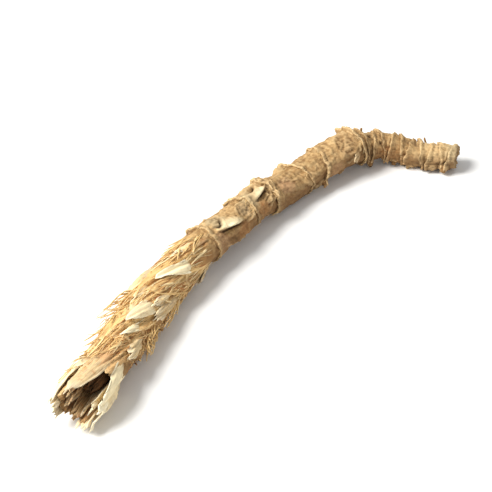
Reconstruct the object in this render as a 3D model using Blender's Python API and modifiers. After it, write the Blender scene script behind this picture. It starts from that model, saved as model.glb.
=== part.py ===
"""One dried calamus rhizome, lying on a surface: metres, +Z up, old end towards +X, growing tip towards -X.

The stem is a loft through unlike sections along a bent centreline. Its rows follow the oblique rims of the
nodes, so each rim stays a crisp step. At the tip they turn inwards, down the hollow of the torn leaf sheath
and out again over the young leaves in it. Leaf bases, sheath strips, fibres, root scars and stubs are rooted
in the stem and joined to it in one Boolean union. Last, the underside is worn flat where the rhizome lies.

A spot on the stem is given by its place, which is the distance from the old end along the centreline, and by
its angle round the stem: 0 on top, 90 degrees on the front, 180 below.
"""

import math
import random

import bmesh
import bpy
from mathutils import Matrix, Vector, noise

# Course of the centreline, in metres and degrees
START = (0.05826, -0.00991)
STEM_LENGTH = 0.121
START_HEADING = 117.0
MAIN_HEADING = 180.0
TIP_HEADING = 203.0
BEND_FROM = 0.009
BEND_TO = 0.033
SWAY = 2.6
SWAY_LENGTH = 0.047
KINK = 4.0
KINK_LENGTH = 0.0185
FLATTENING = 0.93

# Half width of the stem between its rims, as (place, half width)
GIRTH = (
    (0.000, 0.00275),
    (0.005, 0.00300),
    (0.015, 0.00308),
    (0.0198, 0.00325),
    (0.0245, 0.00425),
    (0.031, 0.00410),
    (0.042, 0.00382),
    (0.053, 0.00385),
    (0.066, 0.00385),
    (0.076, 0.00400),
    (0.085, 0.00420),
    (0.097, 0.00440),
    (0.106, 0.00425),
    (0.113, 0.00395),
    (0.122, 0.00405),
    (0.131, 0.00385),
)

# Gap under the stem, as (place, height): it lies on three low places
STAND_OFF = (
    (0.000, 0.0005),
    (0.007, -0.0003),
    (0.018, 0.0010),
    (0.026, 0.0011),
    (0.041, -0.0002),
    (0.056, 0.0012),
    (0.074, 0.0017),
    (0.096, 0.0001),
    (0.110, 0.0010),
    (0.122, 0.0017),
    (0.131, 0.0019),
)

# Close rings of the old end
RING_FROM = 0.0016
RING_TO = 0.0218
RING_SPACING = 0.00215
RING_SLANT = 0.0005
RING_RISE = 0.00048
RING_FAR_SHARE = 0.75
RING_BAND = 0.0007

# Nodes beyond the rings, as (place, angle of the leaf, slant of the rim, height of the rim, share of that
# height on the side away from the leaf, length of the thick band behind the rim)
NODES = (
    (0.0240, -50, 0.0010, 0.00095, 0.85, 0.0012),
    (0.0345, 125, 0.0005, 0.00042, 0.60, 0.0009),
    (0.0405, -60, 0.0008, 0.00050, 0.60, 0.0009),
    (0.0512, -20, 0.0004, 0.00070, 0.80, 0.0019),
    (0.0592, -40, 0.0003, 0.00056, 0.45, 0.0011),
    (0.0733, -46, 0.0000, 0.00066, 0.70, 0.0010),
    (0.0850, 112, 0.0012, 0.00056, 0.05, 0.0010),
    (0.0950, -60, 0.0012, 0.00058, 0.05, 0.0010),
    (0.1050, 96, 0.0012, 0.00064, 0.10, 0.0010),
    (0.1105, -30, 0.0008, 0.00060, 0.10, 0.0010),
)

# Skin, with the ribs of the sheath winding back round the stem by some radians a metre
NECK_DEPTH = 0.00024
STEP_LENGTH = 0.00030
LIP_WAVE = 0.00042
TONGUE = 0.0006
TONGUE_SPREAD = 0.15
BAND_FULL = 0.35
BAND_FOOT = 1.5
BAND_SHARE = 0.7
DENT = 0.09
WRINKLE = 0.00028
RIB = 0.00070
RIB_TWIST = 60.0
SHEATH_FROM = 0.0745

# Broken old end, as (share of the radius, place)
END_ROWS = ((0.32, 0.0008), (0.66, 0.0003), (0.92, 0.0000))
END_ROUGHNESS = 0.0006
BARK_FROM = 0.0004

# Mouth of the torn sheath at the tip
MOUTH_NEAR = 0.1215
MOUTH_FAR = 0.1290
MOUTH_ANGLE = 52.0
MOUTH_RAGGED = 0.0016
MOUTH_FLOOR = 0.1135
SHEATH_WALL = 0.00085

# Inside of the sheath, as (share of the way to the floor, share of the radius), then the young leaves in it,
# as (place past the floor, share of the radius)
WALL_ROWS = ((0.0, 1.0), (0.45, 0.92), (1.0, 0.82))
CORE_ROWS = ((0.0002, 0.60), (0.0045, 0.54), (0.0085, 0.40))

# What grows on the stem
BLADE_THICKNESS = 0.00065
BLADE_ROOT = 0.0007
SCAR_RADIUS = 0.00085
SCAR_HEIGHT = 0.00045
SCAR_ROOT = 0.0008
SCARS_REACH_ROUND = 78
SCARS_BEHIND_RIM = 0.0009
SCARS_BEHIND_RING = 0.0016
SCARS_ALONG_NODE = 0.0055
STUB_SHARE = 0.2
STUB_HEIGHT = 0.0013
SCAR_FLARE = 1.25
SCAR_NARROWING = 0.72
NEEDLE_RADIUS = 0.00026
NEEDLE_ROOT = 0.0009
TUFT_ALONG = 0.0035
TUFT_ROUND = 24

# Leaf bases and strips of sheath, as (place, angle, direction, length, width, rise, curl, how round the end is)
# Direction 0 points along the stem to the tip, 90 round it to the front and down
LEAF_BASES = (
    (0.0246, 74, 20, 0.0030, 0.0020, 0.0009, 0.2, 0.3),
    (0.0330, 158, 10, 0.0040, 0.0040, 0.0008, 0.5, 0.2),
    (0.0420, -95, 0, 0.0036, 0.0046, 0.0009, 0.5, 0.2),
    (0.0545, 6, 82, 0.0019, 0.0044, 0.0010, 0.2, 0.8),
    (0.0672, 18, 80, 0.0018, 0.0082, 0.0012, 0.2, 0.8),
    (0.0690, -110, 10, 0.0046, 0.0040, 0.0010, 0.4, 0.2),
    (0.0750, 150, -10, 0.0060, 0.0036, 0.0008, 0.3, 0.2),
    (0.0815, 54, -20, 0.0098, 0.0034, 0.0011, 0.3, 0.5),
    (0.0850, -50, 0, 0.0105, 0.0030, 0.0009, 0.2, 0.2),
    (0.0880, 100, -12, 0.0130, 0.0028, 0.0008, 0.2, 0.2),
    (0.0900, -140, 0, 0.0110, 0.0036, 0.0010, 0.3, 0.2),
    (0.0965, 40, -14, 0.0095, 0.0044, 0.0008, 0.5, 0.5),
    (0.1000, 160, 0, 0.0100, 0.0034, 0.0007, 0.3, 0.2),
    (0.1050, 84, -10, 0.0100, 0.0032, 0.0010, 0.3, 0.3),
    (0.1080, -70, -6, 0.0110, 0.0032, 0.0010, 0.3, 0.2),
)

# Strips that reach past the mouth
TIP_STRIPS = (
    (0.1160, -62, -6, 0.0135, 0.0042, 0.0016, 0.3, 0.0),
    (0.1140, 4, -7, 0.0150, 0.0056, 0.0004, 0.4, 0.2),
    (0.1140, 80, 4, 0.0140, 0.0056, 0.0006, 0.4, 0.4),
    (0.1150, 122, 3, 0.0150, 0.0050, 0.0013, 0.5, 0.3),
    (0.1170, 164, -4, 0.0130, 0.0046, 0.0003, 0.2, 0.0),
    (0.1165, -118, 3, 0.0135, 0.0046, 0.0007, 0.3, 0.0),
)
LEAF_BASE_TAPER = 0.35
TIP_STRIP_TAPER = 0.45

# Tufts of fibre, as (place, angle, direction, length, number, spread, height of the tips)
TUFTS = (
    (0.0950, -44, -10, 0.0120, 9, 9, 0.0034),
    (0.0880, 118, 6, 0.0120, 6, 10, 0.0022),
    (0.1010, 96, 14, 0.0075, 8, 18, 0.0024),
    (0.1080, -60, -8, 0.0100, 6, 9, 0.0026),
    (0.1190, -70, -18, 0.0070, 8, 22, 0.0024),
    (0.0765, -20, 4, 0.0080, 5, 14, 0.0018),
    (0.0960, 190, 0, 0.0090, 3, 14, 0.0018),
    (0.1150, 170, 6, 0.0080, 3, 14, 0.0018),
)

# Side buds, as (place, angle, half length, half width, half height, depth of the middle)
BUDS = (
    (0.0428, -58, 0.0026, 0.0019, 0.0021, 0.0006),
    (0.0556, -28, 0.0019, 0.0015, 0.0010, 0.0005),
    (0.0702, -8, 0.0022, 0.0018, 0.0010, 0.0005),
)

# Mesh
SIDES = 28
RING_ROWS = (0.0, 0.55, 1.0)
SHEATH_ROWS = (0.0, 0.35, 0.7, 1.0)
SCAR_SIDES = 6
NEEDLE_SIDES = 3
BLADE_CELLS = 3
SCARS_A_NODE = 3
SEED = 11


def smooth_step(low, high, value):
    share = min(1.0, max(0.0, (value - low) / (high - low)))
    return share * share * (3 - 2 * share)


def along(table, place):
    """The table's value at a place, eased between its entries."""
    if place <= table[0][0]:
        return table[0][1]
    for (place_a, value_a), (place_b, value_b) in zip(table, table[1:]):
        if place <= place_b:
            return value_a + (value_b - value_a) * smooth_step(place_a, place_b, place)
    return table[-1][1]


def ripple(angle, scale, offset, place=0.0):
    """Noise in -1 to 1 that closes round the stem."""
    return noise.noise(Vector((math.cos(angle) * scale, math.sin(angle) * scale, place + offset)))


def heading(place):
    """Direction of growth in plan, in radians."""
    bend = smooth_step(BEND_FROM, BEND_TO, place)
    drift = smooth_step(BEND_TO, STEM_LENGTH, place)
    angle = START_HEADING + (MAIN_HEADING - START_HEADING) * bend + (TIP_HEADING - MAIN_HEADING) * drift
    sway = SWAY * math.sin(2 * math.pi * place / SWAY_LENGTH)
    kink = KINK * math.sin(2 * math.pi * place / KINK_LENGTH)
    return math.radians(angle + sway + kink)


class Centreline:
    """The stem's centreline, integrated from its heading, and the frame that travels along it."""

    STEP = 0.00025
    BEYOND = 0.02

    def __init__(self):
        self.points = [Vector(START)]
        for k in range(int((STEM_LENGTH + self.BEYOND) / self.STEP)):
            turn = heading((k + 0.5) * self.STEP)
            self.points.append(self.points[-1] + Vector((math.cos(turn), math.sin(turn))) * self.STEP)

    def frame(self, place):
        """Centre, growth direction and front side at a place."""
        turn = heading(place)
        ahead = Vector((math.cos(turn), math.sin(turn), 0.0))
        front = Vector((-ahead.y, ahead.x, 0.0))
        k = place / self.STEP
        low = min(max(int(k), 0), len(self.points) - 2)
        spot = self.points[low].lerp(self.points[low + 1], k - low)
        height = along(GIRTH, place) * FLATTENING + along(STAND_OFF, place)
        return Vector((spot.x, spot.y, height)), ahead, front

    def spot(self, place, angle, radius):
        centre, _, front = self.frame(place)
        rise = Vector((0.0, 0.0, radius * FLATTENING * math.cos(angle)))
        return centre + front * (radius * math.sin(angle)) + rise


class Rim:
    """The rim of one node: where it runs round the stem and how high it stands."""

    def __init__(self, place, leaf_degrees, slant, rise, far_share, band, phase):
        self.place = place
        self.leaf = math.radians(leaf_degrees)
        self.slant = slant
        self.rise = rise
        self.far_share = far_share
        self.band = band
        self.phase = phase

    def near_leaf(self, angle):
        return 0.5 + 0.5 * math.cos(angle - self.leaf)

    def presence(self, angle):
        """1 at the leaf, down to the far share opposite."""
        return self.far_share + (1 - self.far_share) * smooth_step(0.2, 0.8, self.near_leaf(angle))

    def at(self, angle):
        near = math.cos(angle - self.leaf)
        tongue = TONGUE * math.exp((near - 1) / TONGUE_SPREAD)
        return self.place + self.slant * near + tongue + LIP_WAVE * ripple(angle, 2.3, self.phase)

    def height(self, angle):
        uneven = 0.75 + 0.4 * self.near_leaf(angle) + 0.5 * ripple(angle, 2.6, self.phase + 30)
        return self.rise * uneven * self.presence(angle)

    def row_places(self, start, edge):
        """Places of the loft's rows from the neck to this rim, close together along the thick band."""
        if self.place < RING_TO:
            return [start + (edge - start) * share for share in RING_ROWS]
        foot = edge - BAND_FOOT * self.band
        return [start, (start + foot) / 2, foot, edge - 0.8 * self.band, edge]


def rims_along(draw):
    rims = []
    place = RING_FROM
    while place < RING_TO:
        leaf = draw.uniform(-70, -30) if len(rims) % 2 else draw.uniform(100, 150)
        rise = RING_RISE * draw.uniform(0.75, 1.3)
        slant = RING_SLANT * draw.uniform(0.4, 1.2)
        rims.append(Rim(place, leaf, slant, rise, RING_FAR_SHARE, RING_BAND, draw.uniform(0, 100)))
        place += RING_SPACING * draw.uniform(0.88, 1.14)
    for shape in NODES:
        rims.append(Rim(*shape, draw.uniform(0, 100)))
    return rims


def swelling(share, neck, height, to_edge, band):
    """Height over the skin, from the neck behind one rim (share 0) to the thick band of the next (share 1)."""
    thick = 1 - smooth_step(BAND_FULL * band, BAND_FOOT * band, to_edge)
    return -neck + (neck + height) * ((1 - BAND_SHARE) * share + BAND_SHARE * thick)


def skin_radius(place, angle):
    """Radius of the stem between its rims, with dents, wrinkles and the ribs of the sheath."""
    dent = DENT * ripple(angle, 0.9, 0.0, place * 95)
    sheathed = smooth_step(SHEATH_FROM, SHEATH_FROM + 0.007, place)
    wrinkle = WRINKLE * ripple(angle, 3.3, 9.0, place * 70) * (1 - sheathed)
    wound = angle + RIB_TWIST * (place - SHEATH_FROM)
    rib = RIB * (0.35 - 2 * abs(ripple(wound, 3.6, 40.0, place * 45))) * sheathed
    return along(GIRTH, place) * (1 + dent) + wrinkle + rib


def mouth_edge(angle):
    """Place of the torn sheath's edge: far on the underside, near where the mouth opens."""
    opening = 0.5 + 0.5 * math.cos(angle - math.radians(MOUTH_ANGLE))
    edge = MOUTH_FAR + (MOUTH_NEAR - MOUTH_FAR) * smooth_step(0.25, 0.8, opening)
    return edge + MOUTH_RAGGED * ripple(angle, 3.4, 70.0)


def ring_angles():
    return [2 * math.pi * k / SIDES for k in range(SIDES)]


def node_points(line, before, rim):
    """The rows of points from behind one rim to the next, listed by angle."""
    columns = []
    for angle in ring_angles():
        start = before.at(angle) + STEP_LENGTH if before else BARK_FROM
        neck = NECK_DEPTH * before.presence(angle) if before else 0.0
        edge = rim.at(angle)
        column = []
        for place in rim.row_places(start, edge):
            share = (place - start) / (edge - start)
            lift = swelling(share, neck, rim.height(angle), edge - place, rim.band)
            column.append(line.spot(place, angle, skin_radius(place, angle) + lift))
        columns.append(column)
    return [list(row) for row in zip(*columns)]


def stem_rows(line, rims):
    """The loft's rings of points: the broken end, the nodes, the torn mouth, its hollow and the young leaves."""
    rows = []
    for share, depth in END_ROWS:
        row = []
        for angle in ring_angles():
            rough = END_ROUGHNESS * ripple(angle, 2.5 * share, 5.0)
            row.append(line.spot(depth + rough, angle, share * skin_radius(0.0, angle)))
        rows.append(row)
    for before, rim in zip([None] + rims, rims):
        rows += node_points(line, before, rim)
    last = rims[-1]
    for share in SHEATH_ROWS:
        row = []
        for angle in ring_angles():
            start = last.at(angle) + STEP_LENGTH
            place = start + (mouth_edge(angle) - start) * share
            neck = NECK_DEPTH * last.presence(angle) * (1 - share)
            row.append(line.spot(place, angle, skin_radius(place, angle) - neck))
        rows.append(row)
    for share, narrowing in WALL_ROWS:
        row = []
        for angle in ring_angles():
            place = mouth_edge(angle) + (MOUTH_FLOOR - mouth_edge(angle)) * share
            row.append(line.spot(place, angle, (skin_radius(place, angle) - SHEATH_WALL) * narrowing))
        rows.append(row)
    for past, narrowing in CORE_ROWS:
        place = MOUTH_FLOOR + past
        rows.append([line.spot(place, angle, skin_radius(place, angle) * narrowing) for angle in ring_angles()])
    return rows


def loft(name, rows, collection):
    """A closed mesh through rings of points, closed at both ends to their middle points."""
    bm = bmesh.new()
    rings = [[bm.verts.new(point) for point in row] for row in rows]
    for ring_a, ring_b in zip(rings, rings[1:]):
        for k in range(SIDES):
            ahead = (k + 1) % SIDES
            bm.faces.new((ring_a[k], ring_a[ahead], ring_b[ahead], ring_b[k]))
    for ring in (rings[0], rings[-1]):
        hub = bm.verts.new(sum((vert.co for vert in ring), Vector()) / SIDES)
        for k in range(SIDES):
            bm.faces.new((hub, ring[k], ring[(k + 1) % SIDES]))
    bmesh.ops.recalc_face_normals(bm, faces=bm.faces)
    bmesh.ops.triangulate(bm, faces=bm.faces)
    return object_from(name, bm, collection)


def object_from(name, bm, collection):
    mesh = bpy.data.meshes.new(name)
    bm.to_mesh(mesh)
    bm.free()
    made = bpy.data.objects.new(name, mesh)
    collection.objects.link(made)
    return made


def growing_spot(line, place, angle, height):
    """A point at a height over the stem's skin."""
    return line.spot(place, angle, skin_radius(place, angle) + height)


def blade(line, shape, taper, collection):
    """A leaf base or a strip of sheath: a bent sheet with its root in the stem and its end free."""
    place, degrees, direction, length, width, rise, curl, rounding = shape
    turn = math.radians(direction)
    girth = along(GIRTH, place)
    bm = bmesh.new()
    bmesh.ops.create_grid(bm, x_segments=BLADE_CELLS, y_segments=BLADE_CELLS, size=1.0)
    for vert in bm.verts:
        out = 0.5 + 0.5 * vert.co.x
        side = vert.co.y
        ahead = length * out * (1 - rounding * side * side)
        across = 0.5 * width * side * (1 - taper * out * out)
        spot_place = place + ahead * math.cos(turn) - across * math.sin(turn)
        spot_angle = math.radians(degrees) + (ahead * math.sin(turn) + across * math.cos(turn)) / girth
        height = -BLADE_ROOT + (BLADE_ROOT + rise) * (1 - (1 - out) ** 2) * (1 - curl * side * side)
        vert.co = growing_spot(line, spot_place, spot_angle, height)
    made = object_from("leaf_base", bm, collection)
    solid = made.modifiers.new("thickness", "SOLIDIFY")
    solid.thickness = BLADE_THICKNESS
    solid.offset = 0.0
    return made


def cone(root, tip, root_radius, tip_radius, sides, collection, name):
    """A tapered peg from its root to its tip."""
    bm = bmesh.new()
    axis = tip - root
    bmesh.ops.create_cone(
        bm, cap_ends=True, segments=sides, radius1=root_radius, radius2=tip_radius, depth=axis.length
    )
    upright = axis.to_track_quat("Z", "Y").to_matrix().to_4x4()
    bmesh.ops.transform(bm, matrix=Matrix.Translation((root + tip) / 2) @ upright, verts=bm.verts)
    return object_from(name, bm, collection)


def root_scars(line, rims, draw, collection):
    """Round scars and stubs of roots, round the underside behind each node."""
    for rim in rims:
        ringed = rim.place < RING_TO
        for _ in range(1 if ringed else SCARS_A_NODE):
            angle = math.radians(180 + draw.uniform(-SCARS_REACH_ROUND, SCARS_REACH_ROUND))
            reach = SCARS_BEHIND_RING if ringed else SCARS_ALONG_NODE
            place = rim.place + draw.uniform(SCARS_BEHIND_RIM, reach)
            radius = SCAR_RADIUS * draw.uniform(0.75, 1.15)
            height = SCAR_HEIGHT * draw.uniform(0.8, 1.3)
            if draw.random() < STUB_SHARE:
                height = STUB_HEIGHT * draw.uniform(0.8, 1.4)
            root = growing_spot(line, place, angle, -SCAR_ROOT)
            tip = growing_spot(line, place + draw.uniform(-0.0003, 0.0006), angle, height)
            cone(root, tip, radius * SCAR_FLARE, radius * SCAR_NARROWING, SCAR_SIDES, collection, "root_scar")


def fibres(line, draw, collection):
    """Tufts of stiff fibre that the leaf sheaths leave when they wear away."""
    for place, degrees, direction, length, number, spread, rise in TUFTS:
        girth = along(GIRTH, place)
        for _ in range(number):
            turn = math.radians(direction + draw.uniform(-spread, spread))
            reach = length * draw.uniform(0.6, 1.05)
            start = place + draw.uniform(-TUFT_ALONG, TUFT_ALONG)
            angle = math.radians(degrees + draw.uniform(-TUFT_ROUND, TUFT_ROUND))
            root = growing_spot(line, start, angle, -NEEDLE_ROOT)
            end_angle = angle + reach * math.sin(turn) / girth
            tip = growing_spot(line, start + reach * math.cos(turn), end_angle, rise * draw.uniform(0.3, 1.0))
            cone(root, tip, NEEDLE_RADIUS * 1.3, NEEDLE_RADIUS, NEEDLE_SIDES, collection, "fibre")


def side_bud(line, shape, collection):
    """A small bud pressed against the stem."""
    place, degrees, length, width, height, depth = shape
    bm = bmesh.new()
    bmesh.ops.create_icosphere(bm, subdivisions=2, radius=1.0)
    _, ahead, front = line.frame(place)
    angle = math.radians(degrees)
    out = front * math.sin(angle) + Vector((0.0, 0.0, math.cos(angle)))
    turn = Matrix((ahead, out.cross(ahead), out)).transposed().to_4x4()
    size = Matrix.Diagonal((length, width, height, 1.0))
    there = Matrix.Translation(growing_spot(line, place, angle, -depth))
    bmesh.ops.transform(bm, matrix=there @ turn @ size, verts=bm.verts)
    return object_from("side_bud", bm, collection)


def join_all(stem, grown):
    """One Boolean union of the stem with all that grows on it."""
    union = stem.modifiers.new("grown_on", "BOOLEAN")
    union.operation = "UNION"
    union.operand_type = "COLLECTION"
    union.collection = grown
    union.solver = "MANIFOLD"
    apply_modifiers(stem)
    for old in list(grown.objects):
        bpy.data.objects.remove(old, do_unlink=True)
    bpy.data.collections.remove(grown)


def apply_modifiers(made):
    seen = made.evaluated_get(bpy.context.evaluated_depsgraph_get())
    mesh = bpy.data.meshes.new_from_object(seen)
    made.modifiers.clear()
    made.data = mesh


def shells(bm):
    """Lists of faces that hang together over edges between two faces."""
    left = set(bm.faces)
    while left:
        shell = [left.pop()]
        for face in shell:
            for edge in face.edges:
                for other in edge.link_faces:
                    if len(edge.link_faces) == 2 and other in left:
                        left.remove(other)
                        shell.append(other)
        yield shell


def keep_one_body(bm):
    """Fills the small hollows that the union seals and drops loose scraps: the largest body stays."""
    scraps = [face for shell in sorted(shells(bm), key=len)[:-1] for face in shell]
    bmesh.ops.delete(bm, geom=scraps, context="FACES")


def drop_folds(bm):
    """Deletes pairs of triangles that lie back to back on the same three corners."""
    seen = {}
    folds = []
    for face in bm.faces:
        corners = frozenset(face.verts)
        if corners in seen:
            folds += [face, seen[corners]]
        seen[corners] = face
    bmesh.ops.delete(bm, geom=folds, context="FACES")


def wear_flat(stem):
    """Cuts the underside at z = 0 and centres the rhizome over the origin."""
    bm = bmesh.new()
    bm.from_mesh(stem.data)
    bmesh.ops.triangulate(bm, faces=bm.faces)
    drop_folds(bm)
    keep_one_body(bm)
    cut = bmesh.ops.bisect_plane(
        bm, geom=bm.verts[:] + bm.edges[:] + bm.faces[:], dist=1e-7,
        plane_co=(0, 0, 0), plane_no=(0, 0, -1), clear_outer=True,
    )
    rim = [item for item in cut["geom_cut"] if isinstance(item, bmesh.types.BMEdge)]
    bmesh.ops.holes_fill(bm, edges=rim)
    bmesh.ops.triangulate(bm, faces=bm.faces)
    low = [min(vert.co[axis] for vert in bm.verts) for axis in range(3)]
    high = [max(vert.co[axis] for vert in bm.verts) for axis in range(3)]
    centre = Vector(((low[0] + high[0]) / 2, (low[1] + high[1]) / 2, low[2]))
    bmesh.ops.translate(bm, vec=-centre, verts=bm.verts)
    bm.to_mesh(stem.data)
    bm.free()


def clear_scene():
    for old in list(bpy.data.objects):
        bpy.data.objects.remove(old, do_unlink=True)


def bark_material():
    bark = bpy.data.materials.new("dry_bark")
    bark.use_nodes = True
    shader = bark.node_tree.nodes["Principled BSDF"]
    shader.inputs["Base Color"].default_value = (0.33, 0.205, 0.105, 1.0)
    shader.inputs["Roughness"].default_value = 0.85
    shader.inputs["Metallic"].default_value = 0.0
    return bark


def main():
    clear_scene()
    draw = random.Random(SEED)
    scene = bpy.context.scene
    rhizome_collection = bpy.data.collections.new("dried_calamus_rhizome")
    grown = bpy.data.collections.new("grown_on")
    scene.collection.children.link(rhizome_collection)
    scene.collection.children.link(grown)
    line = Centreline()
    rims = rims_along(draw)
    stem = loft("rhizome", stem_rows(line, rims), rhizome_collection)
    for shape in LEAF_BASES:
        blade(line, shape, LEAF_BASE_TAPER, grown)
    for shape in TIP_STRIPS:
        blade(line, shape, TIP_STRIP_TAPER, grown)
    root_scars(line, rims, draw, grown)
    fibres(line, draw, grown)
    for shape in BUDS:
        side_bud(line, shape, grown)
    join_all(stem, grown)
    wear_flat(stem)
    stem.data.materials.clear()
    stem.data.materials.append(bark_material())


main()
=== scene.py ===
"""The looks of one dried calamus rhizome: bark, leaf bases, torn sheath, fibre, hairs and rootlets.

It is laid out as an add-on and run as a script. All lengths are metres and +Z is up. A spot on the stem is
given by its place, which is the distance from the old end along the centreline, and by its angle round the
stem: 0 on top, 90 degrees on the front, 180 below. The stem grows from its old end, towards +X, to its tip,
towards -X.
"""

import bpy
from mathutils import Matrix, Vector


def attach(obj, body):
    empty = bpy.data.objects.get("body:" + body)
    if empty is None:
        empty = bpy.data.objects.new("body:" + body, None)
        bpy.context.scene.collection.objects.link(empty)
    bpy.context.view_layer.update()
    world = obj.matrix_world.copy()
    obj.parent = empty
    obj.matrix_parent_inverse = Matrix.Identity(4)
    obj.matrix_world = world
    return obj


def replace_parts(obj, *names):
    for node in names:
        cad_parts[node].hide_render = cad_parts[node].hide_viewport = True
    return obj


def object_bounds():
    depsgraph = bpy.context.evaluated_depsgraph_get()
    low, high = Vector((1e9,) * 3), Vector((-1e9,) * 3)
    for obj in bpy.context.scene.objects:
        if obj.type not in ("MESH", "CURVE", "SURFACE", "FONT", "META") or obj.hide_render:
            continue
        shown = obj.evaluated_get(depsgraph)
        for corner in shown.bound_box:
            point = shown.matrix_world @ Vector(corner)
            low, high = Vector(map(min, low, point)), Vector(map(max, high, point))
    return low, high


bl_info = {
    "name": "Dried Calamus Rhizome",
    "version": (1, 0, 0),
    "blender": (4, 5, 0),
    "location": "3D View > Sidebar > Calamus",
    "description": "Dresses a dried calamus rhizome in bark, leaf bases, fibre, hairs and rootlets",
    "category": "Add Mesh",
}

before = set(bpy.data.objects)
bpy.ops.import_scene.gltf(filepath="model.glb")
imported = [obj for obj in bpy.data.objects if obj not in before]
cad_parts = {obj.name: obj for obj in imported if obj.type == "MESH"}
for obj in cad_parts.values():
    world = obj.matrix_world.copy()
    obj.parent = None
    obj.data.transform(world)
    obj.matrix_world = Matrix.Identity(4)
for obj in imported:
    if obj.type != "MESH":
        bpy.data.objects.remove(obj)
CAD_BOX = [list(corner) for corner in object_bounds()]

import math
import random

import bpy
import numpy as np
from mathutils import Vector, noise

STEM_NODE = "rhizome"
BODY = "root"
MM = 0.001

# Course of the centreline, in metres and degrees
START = (0.05826, -0.00991)
STEM_LENGTH = 0.121
BEYOND = 0.02
STEP = 0.00025
START_HEADING = 117.0
MAIN_HEADING = 180.0
TIP_HEADING = 203.0
BEND_FROM = 0.009
BEND_TO = 0.033
SWAY = 2.6
SWAY_LENGTH = 0.047
KINK = 4.0
KINK_LENGTH = 0.0185
FLATTENING = 0.93

# Half width of the stem between its rims, as (place, half width)
GIRTH = (
    (0.000, 0.00275),
    (0.005, 0.00300),
    (0.015, 0.00308),
    (0.0198, 0.00325),
    (0.0245, 0.00425),
    (0.031, 0.00410),
    (0.042, 0.00382),
    (0.053, 0.00385),
    (0.066, 0.00385),
    (0.076, 0.00400),
    (0.085, 0.00420),
    (0.097, 0.00440),
    (0.106, 0.00425),
    (0.113, 0.00395),
    (0.122, 0.00405),
    (0.131, 0.00385),
)

# Gap under the stem, as (place, height)
STAND_OFF = (
    (0.000, 0.0005),
    (0.007, -0.0003),
    (0.018, 0.0010),
    (0.026, 0.0011),
    (0.041, -0.0002),
    (0.056, 0.0012),
    (0.074, 0.0017),
    (0.096, 0.0001),
    (0.110, 0.0010),
    (0.122, 0.0017),
    (0.131, 0.0019),
)

# Close rings of the old end
RING_FROM = 0.0016
RING_TO = 0.0218
RING_SPACING = 0.00215
RING_SLANT = 0.0005
RING_RISE = 0.00048
RING_FAR_SHARE = 0.75
RING_BAND = 0.0007

# Nodes beyond the rings, as (place, angle of the leaf, slant of the rim, height of the rim, share of that
# height on the side away from the leaf, length of the thick band behind the rim)
NODES = (
    (0.0240, -50, 0.0010, 0.00095, 0.85, 0.0012),
    (0.0345, 125, 0.0005, 0.00042, 0.60, 0.0009),
    (0.0405, -60, 0.0008, 0.00050, 0.60, 0.0009),
    (0.0512, -20, 0.0004, 0.00070, 0.80, 0.0019),
    (0.0592, -40, 0.0003, 0.00056, 0.45, 0.0011),
    (0.0733, -46, 0.0000, 0.00066, 0.70, 0.0010),
    (0.0850, 112, 0.0012, 0.00056, 0.05, 0.0010),
    (0.0950, -60, 0.0012, 0.00058, 0.05, 0.0010),
    (0.1050, 96, 0.0012, 0.00064, 0.10, 0.0010),
    (0.1105, -30, 0.0008, 0.00060, 0.10, 0.0010),
)

# Skin, with the ribs of the sheath winding back round the stem by some radians a metre
NECK_DEPTH = 0.00024
STEP_LENGTH = 0.00030
LIP_WAVE = 0.00042
TONGUE = 0.0006
DENT = 0.09
WRINKLE = 0.00028
RIB = 0.00070
RIB_TWIST = 60.0
SHEATH_FROM = 0.0745

# Mouth of the torn sheath at the tip
MOUTH_NEAR = 0.1215
MOUTH_FAR = 0.1290
MOUTH_ANGLE = 52.0
MOUTH_RAGGED = 0.0016
MOUTH_FRAY = 0.0008
MOUTH_FLOOR = 0.1135
WALL_AT_EDGE = 0.00030
WALL_AT_FLOOR = 0.00085

# The young leaves in the mouth, as (place past the floor, share of the stem's radius)
CORE = ((0.0000, 0.80), (0.0002, 0.60), (0.0045, 0.54), (0.0085, 0.40), (0.0098, 0.18))

# Leaf bases, as (place, angle, direction, length, width, rise, curl, how round the end is, tone)
# Direction 0 points along the stem to the tip, 90 round it; tone 0 is bark brown and 1 is papery white
LEAF_BASES = (
    (0.0246, 74, 20, 0.0030, 0.0020, 0.0009, 0.2, 0.3, 0.25),
    (0.0330, 158, 10, 0.0040, 0.0040, 0.0008, 0.5, 0.2, 0.2),
    (0.0420, -95, 0, 0.0036, 0.0046, 0.0009, 0.5, 0.2, 0.3),
    (0.0690, -110, 10, 0.0046, 0.0040, 0.0010, 0.4, 0.2, 0.3),
    (0.0750, 150, -10, 0.0060, 0.0036, 0.0008, 0.3, 0.2, 0.35),
    (0.0815, 54, -20, 0.0098, 0.0034, 0.0011, 0.3, 0.75, 1),
    (0.0850, -50, 0, 0.0105, 0.0030, 0.0009, 0.2, 0.2, 0.5),
    (0.0880, 100, -12, 0.0130, 0.0028, 0.0008, 0.2, 0.2, 0.45),
    (0.0900, -140, 0, 0.0110, 0.0036, 0.0010, 0.3, 0.2, 0.4),
    (0.0965, 40, -14, 0.0095, 0.0044, 0.0009, 0.5, 0.75, 0.8),
    (0.1000, 160, 0, 0.0100, 0.0034, 0.0007, 0.3, 0.2, 0.35),
    (0.1050, 84, -10, 0.0100, 0.0032, 0.0010, 0.3, 0.3, 0.5),
    (0.1080, -70, -6, 0.0110, 0.0032, 0.0010, 0.3, 0.2, 0.55),
    (0.1040, 52, -22, 0.0068, 0.0022, 0.0007, 0.3, 0.8, 0.95),
    (0.0768, 10, -14, 0.0070, 0.0020, 0.0005, 0.3, 0.3, 0.6),
    (0.0900, 72, -16, 0.0090, 0.0022, 0.0006, 0.3, 0.3, 0.65),
    (0.0915, 0, -10, 0.0080, 0.0022, 0.0005, 0.3, 0.3, 0.5),
)

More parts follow.
